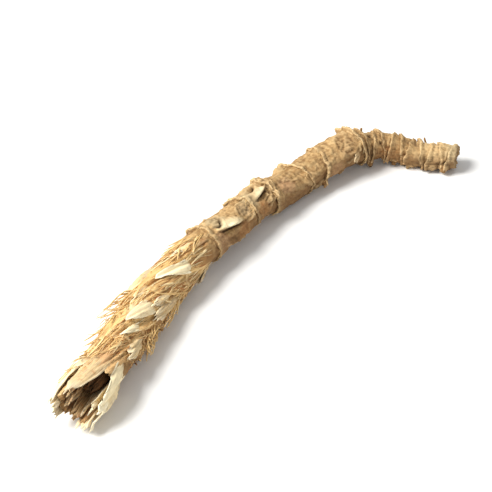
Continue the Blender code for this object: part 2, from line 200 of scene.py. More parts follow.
# Strips of sheath that reach past the mouth
TIP_STRIPS = (
    (0.1160, -62, -6, 0.0135, 0.0042, 0.0016, 0.3, 0.0, 0.7),
    (0.1140, 4, -7, 0.0150, 0.0056, 0.0004, 0.4, 0.2, 0.4),
    (0.1140, 80, 4, 0.0140, 0.0056, 0.0006, 0.4, 0.4, 0.95),
    (0.1150, 122, 3, 0.0150, 0.0050, 0.0013, 0.5, 0.3, 0.8),
    (0.1170, 164, -4, 0.0130, 0.0046, 0.0003, 0.2, 0.0, 0.5),
    (0.1165, -118, 3, 0.0135, 0.0046, 0.0007, 0.3, 0.0, 0.5),
)

# Young leaves inside the mouth, which turn in towards its middle
INNER_LEAVES = (
    (0.1170, -50, 4, 0.0115, 0.0044, -0.0010, 0.2, 0.2, 0.15),
    (0.1170, 116, -4, 0.0120, 0.0044, -0.0011, 0.2, 0.2, 0.6),
    (0.1165, 190, 0, 0.0125, 0.0060, -0.0012, 0.2, 0.2, 0.1),
    (0.1160, -110, 0, 0.0120, 0.0050, -0.0011, 0.2, 0.2, 0.2),
    (0.1165, 150, 0, 0.0120, 0.0036, -0.0020, 0.2, 0.2, 0.3),
    (0.1165, -80, 0, 0.0120, 0.0032, -0.0022, 0.2, 0.2, 0.15),
)
LEAF_BASE_TAPER = 0.35
TIP_STRIP_TAPER = 0.45
BLADE_ROOT = 0.0007

# Tufts of fibre, as (place, angle, direction, length, number, spread, height of the tips)
TUFTS = (
    (0.0950, -44, -10, 0.0120, 9, 9, 0.0034),
    (0.0880, 118, 6, 0.0120, 6, 10, 0.0022),
    (0.1010, 96, 14, 0.0075, 8, 18, 0.0024),
    (0.1080, -60, -8, 0.0100, 6, 9, 0.0026),
    (0.1190, -70, -18, 0.0070, 8, 22, 0.0024),
    (0.0765, -20, 4, 0.0080, 5, 14, 0.0018),
    (0.0960, 190, 0, 0.0090, 3, 14, 0.0018),
    (0.1150, 170, 6, 0.0080, 3, 14, 0.0018),
)

# Root scars and stubs below each node
SCAR_RADIUS = 0.00085
SCAR_HEIGHT = 0.00045
SCARS_A_NODE = 3
STUB_SHARE = 0.2
STUB_HEIGHT = 0.0013
SEED = 11

# Side buds, as (place, angle, half length, half width, height)
BUDS = (
    (0.0428, -58, 0.0026, 0.0019, 0.0015),
    (0.0556, -28, 0.0019, 0.0015, 0.0005),
    (0.0702, -8, 0.0022, 0.0018, 0.0005),
)
TALL_BUD = 0.001

# Folds of the bark that lean over to the front, as (place, angle, place, angle, half width, height,
# overhang)
FOLDS = (
    (0.0518, 8, 0.0570, 30, 0.00085, 0.00105, 0.00045),
    (0.0632, 50, 0.0714, 30, 0.00095, 0.00120, 0.00050),
    (0.0424, 58, 0.0400, 92, 0.00060, 0.00035, 0.00010),
    (0.0742, 34, 0.0800, 20, 0.00050, 0.00045, 0.00015),
    (0.0996, 14, 0.1046, -2, 0.00120, 0.00070, 0.00020),
    (0.0660, -120, 0.0712, -146, 0.00080, 0.00070, 0.00020),
    (0.0380, 160, 0.0330, 185, 0.00070, 0.00050, 0.00010),
)

# Raised arches, open towards the tip, as (place, angle, half length, half width, height, depth of the
# hollow in it)
ARCHES = (
    (0.0556, -27, 0.0022, 0.0022, 0.00036, 0.00062),
    (0.0702, -7, 0.0026, 0.0026, 0.00036, 0.00062),
    (0.0616, 30, 0.0027, 0.0025, 0.00044, 0.00014),
    (0.0540, 6, 0.0038, 0.0048, 0.00032, 0.00014),
    (0.0542, 6, 0.0029, 0.0038, 0.00026, 0.00014),
    (0.0544, 6, 0.0021, 0.0028, 0.00020, 0.00010),
    (0.0285, 30, 0.0046, 0.0044, 0.00030, 0.00012),
)
DEEP_HOLLOW = 0.0005

# Little holes, darkened with painted shade, as (place, angle, radius)
PITS = (
    (0.0176, 44, 0.00044),
    (0.0203, 12, 0.00034),
    (0.0775, 14, 0.00036),
    (0.0788, -16, 0.00032),
    (0.0842, 26, 0.00030),
    (0.1094, 38, 0.00060),
    (0.0655, 170, 0.00036),
    (0.0460, 230, 0.00034),
    (0.0330, -120, 0.00030),
    (0.0875, -100, 0.00036),
)

# Honeycombed patches that a leaf or branch left, as (place, angle, half length, half width, height)
SCAR_PATCHES = (
    (0.0274, 30, 0.0026, 0.0032, 0.00042),
    (0.0616, 28, 0.0020, 0.0019, 0.00034),
    (0.0520, 8, 0.0012, 0.0036, 0.00018),
    (0.0460, 205, 0.0020, 0.0026, 0.00024),
    (0.0680, -150, 0.0022, 0.0024, 0.00024),
)
HONEYCOMB = 1400.0

# Thin raised lines on the bark, as (place, angle, place, angle)
SCAR_LINES = (
    (0.0432, 0, 0.0468, 16),
    (0.0468, 16, 0.0436, 36),
    (0.0452, -22, 0.0486, -10),
    (0.0375, 66, 0.0398, 40),
    (0.0452, 150, 0.0490, 176),
    (0.0712, -30, 0.0728, 10),
    (0.0662, 120, 0.0702, 96),
)

# Patches of another colour, as (place, angle, half length, half width)
GREY_PATCHES = (
    (0.0578, 12, 0.0026, 0.0028),
    (0.0692, -2, 0.0024, 0.0022),
    (0.0610, 28, 0.0018, 0.0018),
    (0.0012, 40, 0.0016, 0.0050),
    (0.0400, -120, 0.0050, 0.0040),
)
PINK_PATCHES = (
    (0.0710, 84, 0.0024, 0.0032),
    (0.0470, 40, 0.0022, 0.0022),
    (0.0320, 100, 0.0024, 0.0026),
    (0.0560, 190, 0.0060, 0.0050),
    (0.0780, -120, 0.0060, 0.0040),
    (0.1180, 4, 0.0040, 0.0020),
)
RUST_PATCHES = (
    (0.0640, 84, 0.0022, 0.0022),
    (0.0556, 78, 0.0028, 0.0024),
    (0.0766, 30, 0.0016, 0.0016),
    (0.0800, 80, 0.0050, 0.0024),
    (0.0960, 88, 0.0070, 0.0026),
    (0.1060, 90, 0.0060, 0.0030),
    (0.0930, 36, 0.0020, 0.0016),
    (0.1010, 120, 0.0070, 0.0040),
    (0.0150, 130, 0.0050, 0.0040),
)


def ease(low, high, value):
    share = np.clip((value - low) / (high - low), 0.0, 1.0)
    return share * share * (3 - 2 * share)


def along(table, place):
    """The table's value at a place, eased between its entries."""
    places, values = (np.array(column) for column in zip(*table))
    place = np.clip(place, places[0], places[-1])
    k = np.clip(np.searchsorted(places, place, side="right") - 1, 0, len(places) - 2)
    share = (place - places[k]) / (places[k + 1] - places[k])
    return values[k] + (values[k + 1] - values[k]) * share * share * (3 - 2 * share)


def grain(x, y, z):
    """Noise in -1 to 1 at each point of three grids."""
    x, y, z = np.broadcast_arrays(x, y, z)
    points = zip(x.ravel().tolist(), y.ravel().tolist(), z.ravel().tolist())
    return np.array([noise.noise(point) for point in points]).reshape(x.shape)


def ripple(angle, scale, offset, place=0.0):
    """Noise in -1 to 1 that closes round the stem."""
    return grain(np.cos(angle) * scale, np.sin(angle) * scale, place + offset)


def line_mask(value, width):
    """1 where the value passes through zero, falling to 0 beside it."""
    return np.exp(-((value / width) ** 2))


def heading(place):
    """Direction of growth in plan, in radians."""
    bend = ease(BEND_FROM, BEND_TO, place)
    drift = ease(BEND_TO, STEM_LENGTH, place)
    angle = START_HEADING + (MAIN_HEADING - START_HEADING) * bend + (TIP_HEADING - MAIN_HEADING) * drift
    sway = SWAY * np.sin(2 * math.pi * place / SWAY_LENGTH)
    kink = KINK * np.sin(2 * math.pi * place / KINK_LENGTH)
    return np.radians(angle + sway + kink)


class Stem:
    """The stem's centreline, integrated from its heading, and the frame that travels along it."""

    def __init__(self):
        count = int((STEM_LENGTH + BEYOND) / STEP)
        turns = heading((np.arange(count) + 0.5) * STEP)
        self.reach = np.arange(count + 1) * STEP
        self.x = START[0] + np.concatenate(([0.0], np.cumsum(np.cos(turns)) * STEP))
        self.y = START[1] + np.concatenate(([0.0], np.cumsum(np.sin(turns)) * STEP))

    def spot(self, place, angle, radius):
        """Points at a distance from the centreline, on or above the surface that the stem lies on."""
        place, angle, radius = np.broadcast_arrays(place, angle, radius)
        turn = heading(place)
        height = along(GIRTH, place) * FLATTENING + along(STAND_OFF, place)
        side = radius * np.sin(angle)
        x = np.interp(place, self.reach, self.x) - np.sin(turn) * side
        y = np.interp(place, self.reach, self.y) + np.cos(turn) * side
        z = height + radius * FLATTENING * np.cos(angle)
        return np.stack((x, y, np.maximum(z, 0.0)), axis=-1)

    def outward(self, place, angle):
        """Unit directions away from the centreline."""
        turn = heading(place)
        side = np.sin(angle)
        return np.stack((-np.sin(turn) * side, np.cos(turn) * side, np.cos(angle)), axis=-1)


class Rim:
    """The rim of one node: where it runs round the stem and how high it stands."""

    def __init__(self, place, leaf_degrees, slant, rise, far_share, band, phase):
        self.place, self.band, self.phase = place, band, phase
        self.leaf, self.slant = math.radians(leaf_degrees), slant
        self.rise, self.far_share = rise, far_share

    def near_leaf(self, angle):
        return 0.5 + 0.5 * np.cos(angle - self.leaf)

    def presence(self, angle):
        """1 at the leaf, down to the far share opposite."""
        return self.far_share + (1 - self.far_share) * ease(0.2, 0.8, self.near_leaf(angle))

    def at(self, angle):
        near = np.cos(angle - self.leaf)
        tongue = TONGUE * np.exp((near - 1) / 0.15)
        return self.place + self.slant * near + tongue + LIP_WAVE * ripple(angle, 2.3, self.phase)

    def height(self, angle):
        uneven = 0.75 + 0.4 * self.near_leaf(angle) + 0.5 * ripple(angle, 2.6, self.phase + 30)
        return self.rise * uneven * self.presence(angle)


def rims_along(draw):
    rims = []
    place = RING_FROM
    while place < RING_TO:
        leaf = draw.uniform(-70, -30) if len(rims) % 2 else draw.uniform(100, 150)
        rise = RING_RISE * draw.uniform(0.75, 1.3)
        slant = RING_SLANT * draw.uniform(0.4, 1.2)
        rims.append(Rim(place, leaf, slant, rise, RING_FAR_SHARE, RING_BAND, draw.uniform(0, 100)))
        place += RING_SPACING * draw.uniform(0.88, 1.14)
    for shape in NODES:
        rims.append(Rim(*shape, draw.uniform(0, 100)))
    return rims


def root_scars(rims, draw):
    """Round root scars behind each node, as (place, angle, radius, height, whether a stub is left)."""
    scars = []
    for rim in rims:
        ringed = rim.place < RING_TO
        for _ in range(1 if ringed else SCARS_A_NODE):
            angle = math.radians(180 + draw.uniform(-78, 78))
            place = rim.place + draw.uniform(0.0009, 0.0016 if ringed else 0.0055)
            radius = SCAR_RADIUS * draw.uniform(0.75, 1.15)
            height = SCAR_HEIGHT * draw.uniform(0.8, 1.3)
            stub = draw.random() < STUB_SHARE
            if stub:
                height = STUB_HEIGHT * draw.uniform(0.8, 1.4)
            draw.uniform(-0.0003, 0.0006)  # the stub's lean in the solid, drawn to keep step with it
            scars.append((place, angle, radius, height, stub))
    return scars


def swelling(share, neck, height, to_edge, band):
    """Height over the skin, from the neck behind one rim (share 0) to the band of the next (share 1)."""
    thick = 1 - ease(0.35 * band, 1.5 * band, to_edge)
    return -neck + (neck + height) * (0.3 * share + 0.7 * thick)


def skin_radius(place, angle):
    """Radius of the stem between its rims, with dents, wrinkles and the ribs of the sheath."""
    dent = DENT * ripple(angle, 0.9, 0.0, place * 95)
    sheathed = ease(SHEATH_FROM, SHEATH_FROM + 0.007, place)
    wrinkle = WRINKLE * ripple(angle, 3.3, 9.0, place * 70) * (1 - sheathed)
    wound = angle + RIB_TWIST * (place - SHEATH_FROM)
    rib = RIB * (0.35 - 2 * np.abs(ripple(wound, 3.6, 40.0, place * 45))) * sheathed
    return along(GIRTH, place) * (1 + dent) + wrinkle + rib


def mouth_edge(angle):
    """Place of the torn sheath's edge: far on the underside, near where the mouth opens."""
    opening = 0.5 + 0.5 * np.cos(angle - math.radians(MOUTH_ANGLE))
    edge = MOUTH_FAR + (MOUTH_NEAR - MOUTH_FAR) * ease(0.25, 0.8, opening)
    return edge + MOUTH_RAGGED * ripple(angle, 3.4, 70.0) + MOUTH_FRAY * ripple(angle, 13.0, 71.0)


def off_by(place, angle, spot_place, spot_degrees):
    """Distances along and round the stem from a spot."""
    turn = angle - math.radians(spot_degrees)
    turn = (turn + math.pi) % (2 * math.pi) - math.pi
    return place - spot_place, turn * along(GIRTH, place)


def patch(place, angle, shape):
    """How far out in an oval patch each point is: 0 in its middle, 1 on its edge."""
    ahead, across = off_by(place, angle, shape[0], shape[1])
    return np.hypot(ahead / shape[2], across / shape[3])


def patches(place, angle, shapes):
    """1 in the patches, fading out past their edges, with the edges broken up."""
    broken = 0.35 * ripple(angle, 4.0, 200.0, place * 600)
    inside = [1 - ease(0.55, 1.25, patch(place, angle, shape) + broken) for shape in shapes]
    return np.max(inside, axis=0)


def distance_to_line(place, angle, line):
    ahead, across = off_by(place, angle, line[0], line[1])
    run = line[2] - line[0]
    round_run = math.radians(line[3] - line[1]) * float(along(GIRTH, line[0]))
    share = np.clip((ahead * run + across * round_run) / (run * run + round_run * round_run), 0, 1)
    return np.hypot(ahead - share * run, across - share * round_run)


# The stem's fine mesh
SIDES = 140
ROW_LENGTH = 0.00023
END_ROWS = 12
END_DOME = 0.0009
END_EDGE = 0.0004
FINE_RING = 0.00082
WALL_ROWS = 26
CORE_ROWS = 40

# The lips of the rims. Fibres cover the rims of the sheath, so those stand lower and lean out less
LIP_OVERHANG = 0.00014
RING_OVERHANG = 0.00010
LIP_RAGGED = 0.00030
LIP_THICKNESS = 0.00027
LIP_FADE = 0.00045
NECK_FADE = 0.0003
TORN_EDGE_FADE = 0.0005
COVERED_HEIGHT = 0.4
COVERED_LEAN = 0.35


class Bands:
    """Grids for the stem's rows: where each row runs, how high it lies, what it is part of and how much
    painted shade it gets.
    """

    NAMES = ("place", "lift", "narrowing", "lip", "groove", "inside", "wall")

    def __init__(self):
        self.angles = np.arange(SIDES) * 2 * math.pi / SIDES
        self.rows = {name: [] for name in self.NAMES}

    def add(self, place, **values):
        self.rows["place"].append(np.broadcast_to(place, self.angles.shape))
        for name in self.NAMES[1:]:
            value = values.get(name, 1.0 if name == "narrowing" else 0.0)
            self.rows[name].append(np.broadcast_to(value, self.angles.shape))

    def ripple(self, scale, offset, place=0.0):
        return ripple(self.angles, scale, offset, place)

    def grid(self, name):
        return np.array(self.rows[name])


def add_broken_end(bands):
    """The rough, dry face of the old end."""
    for share in np.linspace(0.08, 0.97, END_ROWS):
        rough = 0.0006 * bands.ripple(2.5 * share, 5.0) + 0.00035 * bands.ripple(9.0 * share, 15.0)
        # The hollow middle of the broken face gets painted shade
        bands.add(END_DOME * (1 - share ** 2) + rough, narrowing=share, inside=0.6, groove=0.35 * (1 - share))


def add_internodes(bands, rims):
    """The skin and lip of each rim; returns where the skin behind the last one starts, and its neck."""
    start = np.full(bands.angles.shape, END_EDGE)
    neck = neck_shade = np.zeros(bands.angles.shape)
    for rim in rims:
        covered = rim.place > SHEATH_FROM
        ringed = rim.place < RING_TO
        hidden = COVERED_LEAN if covered else 1.0
        there = rim.presence(bands.angles)
        edge = rim.at(bands.angles)
        ragged = bands.ripple(9.0, rim.phase + 5) + 0.7 * bands.ripple(24.0, rim.phase)
        height = rim.height(bands.angles) + LIP_RAGGED * ragged * there
        height = height * (COVERED_HEIGHT if covered else 1.0)
        bright = 0.35 + 0.5 * ease(-0.2, 0.4, bands.ripple(3.0, rim.phase + 70)) if ringed else 1.0
        for step in np.linspace(0, 1, max(9, int(float(np.mean(edge - start)) / ROW_LENGTH))):
            share = 1 - (1 - step) ** 1.25
            from_edge = (1 - share) * (edge - start)
            from_start = share * (edge - start)
            # Painted shade in the neck behind the last rim, fading away from it
            bands.add(
                start + from_start, lift=swelling(share, neck, height, from_edge, rim.band),
                lip=bright * there * np.exp(-from_edge / LIP_FADE),
                groove=0.9 * neck_shade * np.exp(-from_start / NECK_FADE),
            )
        reach = (RING_OVERHANG * hidden if ringed or covered else LIP_OVERHANG) * there
        reach = reach * (1 + 0.8 * bands.ripple(8.0, rim.phase + 12) + 0.4 * bands.ripple(26.0, rim.phase))
        thick = LIP_THICKNESS * there * hidden
        neck = NECK_DEPTH * there
        # Painted shade under the lip, and for the next skin in the neck behind it
        shade = hidden * there * (0.12 + 0.5 * ease(-0.10, 0.45, bands.ripple(2.6, rim.phase + 50)))
        lip = bright * there
        top, front, below = height * 0.97 - thick * 0.10, height * 0.93 - thick * 0.5, height * 0.85 - thick
        bands.add(edge + reach * 0.7, lift=top, lip=lip)
        bands.add(edge + reach, lift=front, lip=lip * 0.9)
        bands.add(edge + reach * 0.75, lift=below, lip=lip * 0.4, groove=0.3 * shade)
        bands.add(edge + reach * 0.15, lift=height * 0.25 - thick * 0.5, groove=shade)
        bands.add(edge + reach * 0.05, lift=-neck - 0.00016 * there, groove=shade)
        start = edge + STEP_LENGTH
        neck_shade = 0.7 * shade
    return start, neck


def add_mouth(bands, start, neck):
    """The skin up to the torn edge, the wall inside it and the crumpled young leaves on its floor."""
    edge = mouth_edge(bands.angles)
    for share in np.linspace(0, 1, int(float(np.mean(edge - start)) / ROW_LENGTH)):
        lip = np.exp(-(1 - share) * (edge - start) / TORN_EDGE_FADE)
        bands.add(start + (edge - start) * share, lift=-neck * (1 - share), lip=lip)
    # Painted shade that deepens down the wall inside the mouth
    for share in np.linspace(0, 1, WALL_ROWS):
        bands.add(
            edge + (MOUTH_FLOOR - edge) * share,
            narrowing=np.interp(share, (0, 0.45, 1.0), (1.0, 0.92, 0.82)),
            wall=WALL_AT_EDGE + (WALL_AT_FLOOR - WALL_AT_EDGE) * ease(0.0, 0.5, share),
            inside=ease(0.0, 0.1, share), groove=0.8 * ease(0.2, 0.9, share),
        )
    core_places, core_shares = zip(*CORE)
    # Painted shade on the young leaves, darkest at the floor
    for share in np.linspace(0, 1, CORE_ROWS):
        past = core_places[-1] * share
        torn = 0.0022 * share * bands.ripple(2.6, 500.0) + 0.0007 * share * bands.ripple(9.0, 510.0)
        fold = 1 + 0.14 * bands.ripple(4.5, 520.0, past * 80) + 0.05 * bands.ripple(14.0, 525.0, past * 200)
        bands.add(
            MOUTH_FLOOR + past + torn, narrowing=np.interp(past, core_places, core_shares) * fold,
            inside=1.0, groove=0.9 - 0.45 * ease(0.3, 1.0, share),
        )


class BarkRelief:
    """Fine height and colour masks over the stem's grid, painted shade in its hollows among them."""

    MASKS = ("height", "groove", "pit_shade", "scar", "dot", "crust", "arch", "fold", "lean")

    def __init__(self, place, angle, scars):
        self.place = place
        self.angle = angle
        self.sheathed = ease(SHEATH_FROM, SHEATH_FROM + 0.006, place)
        for name in self.MASKS:
            setattr(self, name, np.zeros(place.shape))
        self.add_skin()
        self.add_fine_rings()
        self.add_veins()
        self.add_sheath_ribs()
        self.add_patches()
        self.add_lines()
        self.add_pits()
        self.add_buds()
        self.add_arches()
        self.add_folds()
        self.add_root_scars(scars)

    def ripple(self, scale, offset, lengthwise):
        return ripple(self.angle, scale, offset, self.place * lengthwise)

    def off(self, place, degrees):
        return off_by(self.place, self.angle, place, degrees)

    def add_skin(self):
        """Lumps, crumbs, faint rings and a few wrinkles of the bare internodes."""
        bare = 1 - 0.75 * self.sheathed
        lump = self.ripple(4.6, 57.0, 1050)
        grit = self.ripple(9.5, 61.0, 2100)
        ring = self.ripple(1.3, 71.0, 1500)
        crease = line_mask(self.ripple(2.6, 83.0, 480), 0.045)
        relief = 0.30 * self.ripple(2.3, 66.0, 520) + 0.17 * lump + 0.09 * grit + 0.12 * ring - 0.09 * crease
        relief += 0.045 * self.ripple(19.0, 63.0, 4200) + 0.07 * self.ripple(9.0, 20.0, 420)
        self.height += bare * relief * MM
        # Painted shade in the low spots of the lumps and grit, in the creases and in the faint rings' hollows
        hollow = 0.25 * ease(0.15, 0.55, -lump) + 0.20 * ease(0.15, 0.5, -grit)
        self.groove += bare * (0.26 * crease + hollow + 0.30 * ease(0.2, 0.6, -ring))

    def add_fine_rings(self):
        """Two or three faint rings between the rims of the old end, uneven and broken."""
        old = 1 - ease(0.0200, 0.0235, self.place)
        across = self.place / FINE_RING + 0.55 * self.ripple(1.7, 95.0, 90)
        ring = np.abs((across % 1.0) - 0.5) * 2
        broken = ease(-0.35, 0.15, self.ripple(2.6, 97.0, 420))
        self.height += old * 0.16 * MM * (ring - 0.5) * broken
        # Painted shade between the faint rings
        self.groove += old * 0.62 * ease(0.42, 0.05, ring) * broken

    def add_veins(self):
        """Fine creases along the bare internodes, as drying leaves them."""
        bare = (1 - self.sheathed) * ease(0.0215, 0.0245, self.place)
        crease = line_mask(self.ripple(6.5, 180.0, 150), 0.07) * ease(-0.1, 0.3, self.ripple(2.0, 190.0, 260))
        self.height -= 0.10 * MM * bare * crease
        # Painted shade in the creases
        self.groove += 0.30 * bare * crease

    def add_sheath_ribs(self):
        """Veins of the sheaths that wrap the tip half, which wind with the ribs and are split in places."""
        twist = RIB_TWIST + 12 * self.ripple(1.1, 119.0, 60)
        wound = self.angle + twist * (self.place - SHEATH_FROM)
        rib = 1 - 2.4 * np.abs(ripple(wound, 7.0, 120.0, self.place * 110))
        vein = 1 - 2.4 * np.abs(ripple(wound, 15.0, 133.0, self.place * 170))
        gap = ease(0.22, 0.5, ripple(wound, 3.4, 150.0, self.place * 210))
        self.height += self.sheathed * (0.20 * rib + 0.10 * vein - 0.45 * gap) * MM
        # Painted shade beside the ribs and veins and in the splits between them
        shade = 0.75 * ease(0.1, -0.7, rib) + 0.35 * ease(0.1, -0.8, vein) + 0.55 * gap
        self.groove += self.sheathed * shade

    def add_patches(self):
        for shape in SCAR_PATCHES:
            q = patch(self.place, self.angle, shape)
            inside = 1 - ease(0.75, 1.1, q)
            edge = line_mask(q - 1.0, 0.18)
            cell = self.honeycomb(inside)
            self.height += shape[4] * (0.8 * edge - 0.3 * inside) + 0.34 * MM * (cell - 0.5) * inside
            self.crust = np.maximum(self.crust, inside)
            # Painted shade in the cells' hollows and in a thin ring just past the patch
            self.groove += 0.85 * inside * ease(0.50, 0.12, cell) + 0.12 * line_mask(q - 1.22, 0.08)
            self.scar = np.maximum(self.scar, 0.7 * inside * ease(0.55, 0.8, cell))

    def honeycomb(self, inside):
        """Low in the middle of each little cell and high on the walls between them, where asked."""
        cell = np.full(inside.shape, 0.5)
        radius = along(GIRTH, self.place)
        for k in map(tuple, np.argwhere(inside > 0)):
            point = (self.place[k], radius[k] * math.cos(self.angle[k]), radius[k] * math.sin(self.angle[k]))
            cell[k] = min(1.0, noise.voronoi([value * HONEYCOMB for value in point])[0][0] * 1.25)
        return cell

    def add_lines(self):
        for line in SCAR_LINES:
            away = distance_to_line(self.place, self.angle, line)
            self.height += 0.13 * MM * line_mask(away, 0.00022)
            self.scar = np.maximum(self.scar, 0.9 * line_mask(away, 0.00020))
            # Painted shade in a thin band beside each line
            self.groove += 0.25 * line_mask(away - 0.00045, 0.00016)

    def add_pits(self):
        for place, degrees, radius in PITS:
            q = np.hypot(*self.off(place, degrees)) / radius
            hole = np.exp(-(q ** 2) * 1.1)
            self.height += radius * (0.30 * line_mask(q - 1.5, 0.35) - 1.25 * hole)
            # Painted shade in the hole
            self.pit_shade = np.maximum(self.pit_shade, hole)

    def add_buds(self):
        """Rough buds in a sunk ring, with painted shade in it on their old end's side and on their low rough
        spots, scaly where they are tall.
        """
        for place, degrees, length, width, rise in BUDS:
            q = patch(self.place, self.angle, (place, degrees, length, width))
            q = q + 0.22 * self.ripple(5.0, 700.0, 700)
            rough = 0.8 + 0.7 * self.ripple(8.0, 710.0, 1300)
            ahead = (self.place - place) / length
            dome = np.clip(1 - q ** 2, 0, 1) ** 0.8
            self.height += rise * rough * dome - 0.10 * MM * line_mask(q - 1.08, 0.12)
            # Painted shade in the sunk ring and on the bud's low rough spots
            self.groove += 0.35 * ease(0.5, -0.4, ahead) * line_mask(q - 1.08, 0.10)
            self.groove += 0.3 * (q < 1) * ease(0.8, 0.4, rough)
            scales = (np.clip(ahead, -1, 1) * 3.2) % 1.0
            self.height += 0.10 * MM * scales * (q < 1) * (rise > TALL_BUD)

    def add_arches(self):
        """Smooth pale ridges round the old end's side of a bud or scar, with a hollow under them that painted
        shade darkens.
        """
        broken = 1 + 0.45 * self.ripple(9.0, 610.0, 900)
        for place, degrees, length, width, rise, hollow in ARCHES:
            deep = hollow > DEEP_HOLLOW
            ahead, across = self.off(place, degrees)
            q = np.hypot(ahead / length, across / width) + 0.14 * self.ripple(6.0, 620.0, 800)
            inward = (q - 1.0) * width
            there = ease(0.45, -0.15, ahead / length) * broken
            ridge = line_mask(inward, 0.00028 if deep else 0.00024) * there
            under = line_mask(inward + 0.00056, 0.00020 if deep else 0.00028) * there
            self.height += rise * ridge - hollow * under
            self.arch = np.maximum(self.arch, ridge * (0.6 if deep else 1.0))
            # Painted shade in the hollow under each ridge
            self.pit_shade = np.maximum(self.pit_shade, under * deep)
            self.groove += 0.18 * under

    def add_folds(self):
        """Smooth pale folds that swell from the bark on one side and lean over a hollow on the other,
        darkened by painted shade.
        """
        for from_place, from_angle, to_place, to_angle, width, rise, lean in FOLDS:
            ahead, across = self.off(from_place, from_angle)
            run = to_place - from_place
            round_run = math.radians(to_angle - from_angle) * float(along(GIRTH, from_place))
            length = math.hypot(run, round_run)
            share = (ahead * run + across * round_run) / length ** 2
            away = (across * run - ahead * round_run) / length * (1 if run > 0 else -1)
            lens = np.sin(np.clip(share, 0, 1) * math.pi) ** 0.6
            here = lens * (share > 0) * (share < 1)
            swell = ease(-2.2, 0.0, away / (width * (0.25 + lens)))
            drop = 1 - ease(0.0, 0.30, away / width)
            crest = swell * drop * here
            under = line_mask(away / width - 0.62, 0.34) * here
            tall = ease(0.0004, 0.0009, rise)
            self.height += rise * (crest * (1 + 0.18 * self.ripple(5.0, 640.0, 500)) - 0.30 * under)
            self.lean += lean * swell ** 3 * drop * here
            # Painted shade in the hollow under the fold
            self.pit_shade = np.maximum(self.pit_shade, 0.9 * under * tall)
            self.groove += 0.4 * under
            self.fold = np.maximum(self.fold, crest ** 2 * ease(0.0003, 0.0009, rise))

    def add_root_scars(self, scars):
        """Low discs with a knob in the middle, cupped where no stub is left."""
        broken = 1 + 0.2 * self.ripple(12.0, 350.0, 2500)
        for place, angle, radius, height, stub in scars:
            q = np.hypot(*self.off(place, math.degrees(angle))) / (radius * 1.15)
            disc = 1 - ease(0.8, 1.15, q * broken)
            knob = np.exp(-((q / 0.22) ** 2))
            cup = 0.0 if stub else 0.30 * knob - 0.42 * (1 - ease(0.45, 0.75, q))
            self.height += (SCAR_HEIGHT * 1.2 if stub else height * 1.15) * (disc + cup)
            self.scar = np.maximum(self.scar, disc * 0.8)
            self.dot = np.maximum(self.dot, knob)
            # Painted shade in a ring round each disc and, where no stub is left, in its cup
            self.groove += 0.55 * line_mask(q - 1.25, 0.13) + 0.45 * line_mask(q - 0.5, 0.14) * (not stub)


def mesh_object(name, points, faces, finish, layers=None):
    """A mesh, smooth if it has layers; those hold three values a point for its finish to read."""
    mesh = bpy.data.meshes.new(name)
    mesh.from_pydata(points, [], faces)
    mesh.update()
    mesh.materials.append(finish)
    if layers:
        mesh.shade_smooth()
    for layer, columns in (layers or {}).items():
        values = np.stack([np.ravel(column) for column in columns], axis=-1)
        data = mesh.attributes.new(layer, "FLOAT_VECTOR", "POINT").data
        data.foreach_set("vector", values.astype(np.float32).ravel())
    made = bpy.data.objects.new(name, mesh)
    bpy.context.scene.collection.objects.link(made)
    return made


def grid_faces(rows, columns, closed, first=0):
    """Quads over a grid of points, closed round if asked."""
    sides = columns if closed else columns - 1
    row, column = np.meshgrid(np.arange(rows - 1), np.arange(sides), indexing="ij")
    ahead = (column + 1) % columns
    steps = (0, column), (0, ahead), (1, ahead), (1, column)
    corners = [((row + down) * columns + side).ravel() for down, side in steps]
    return (np.stack(corners, axis=-1) + first).tolist()


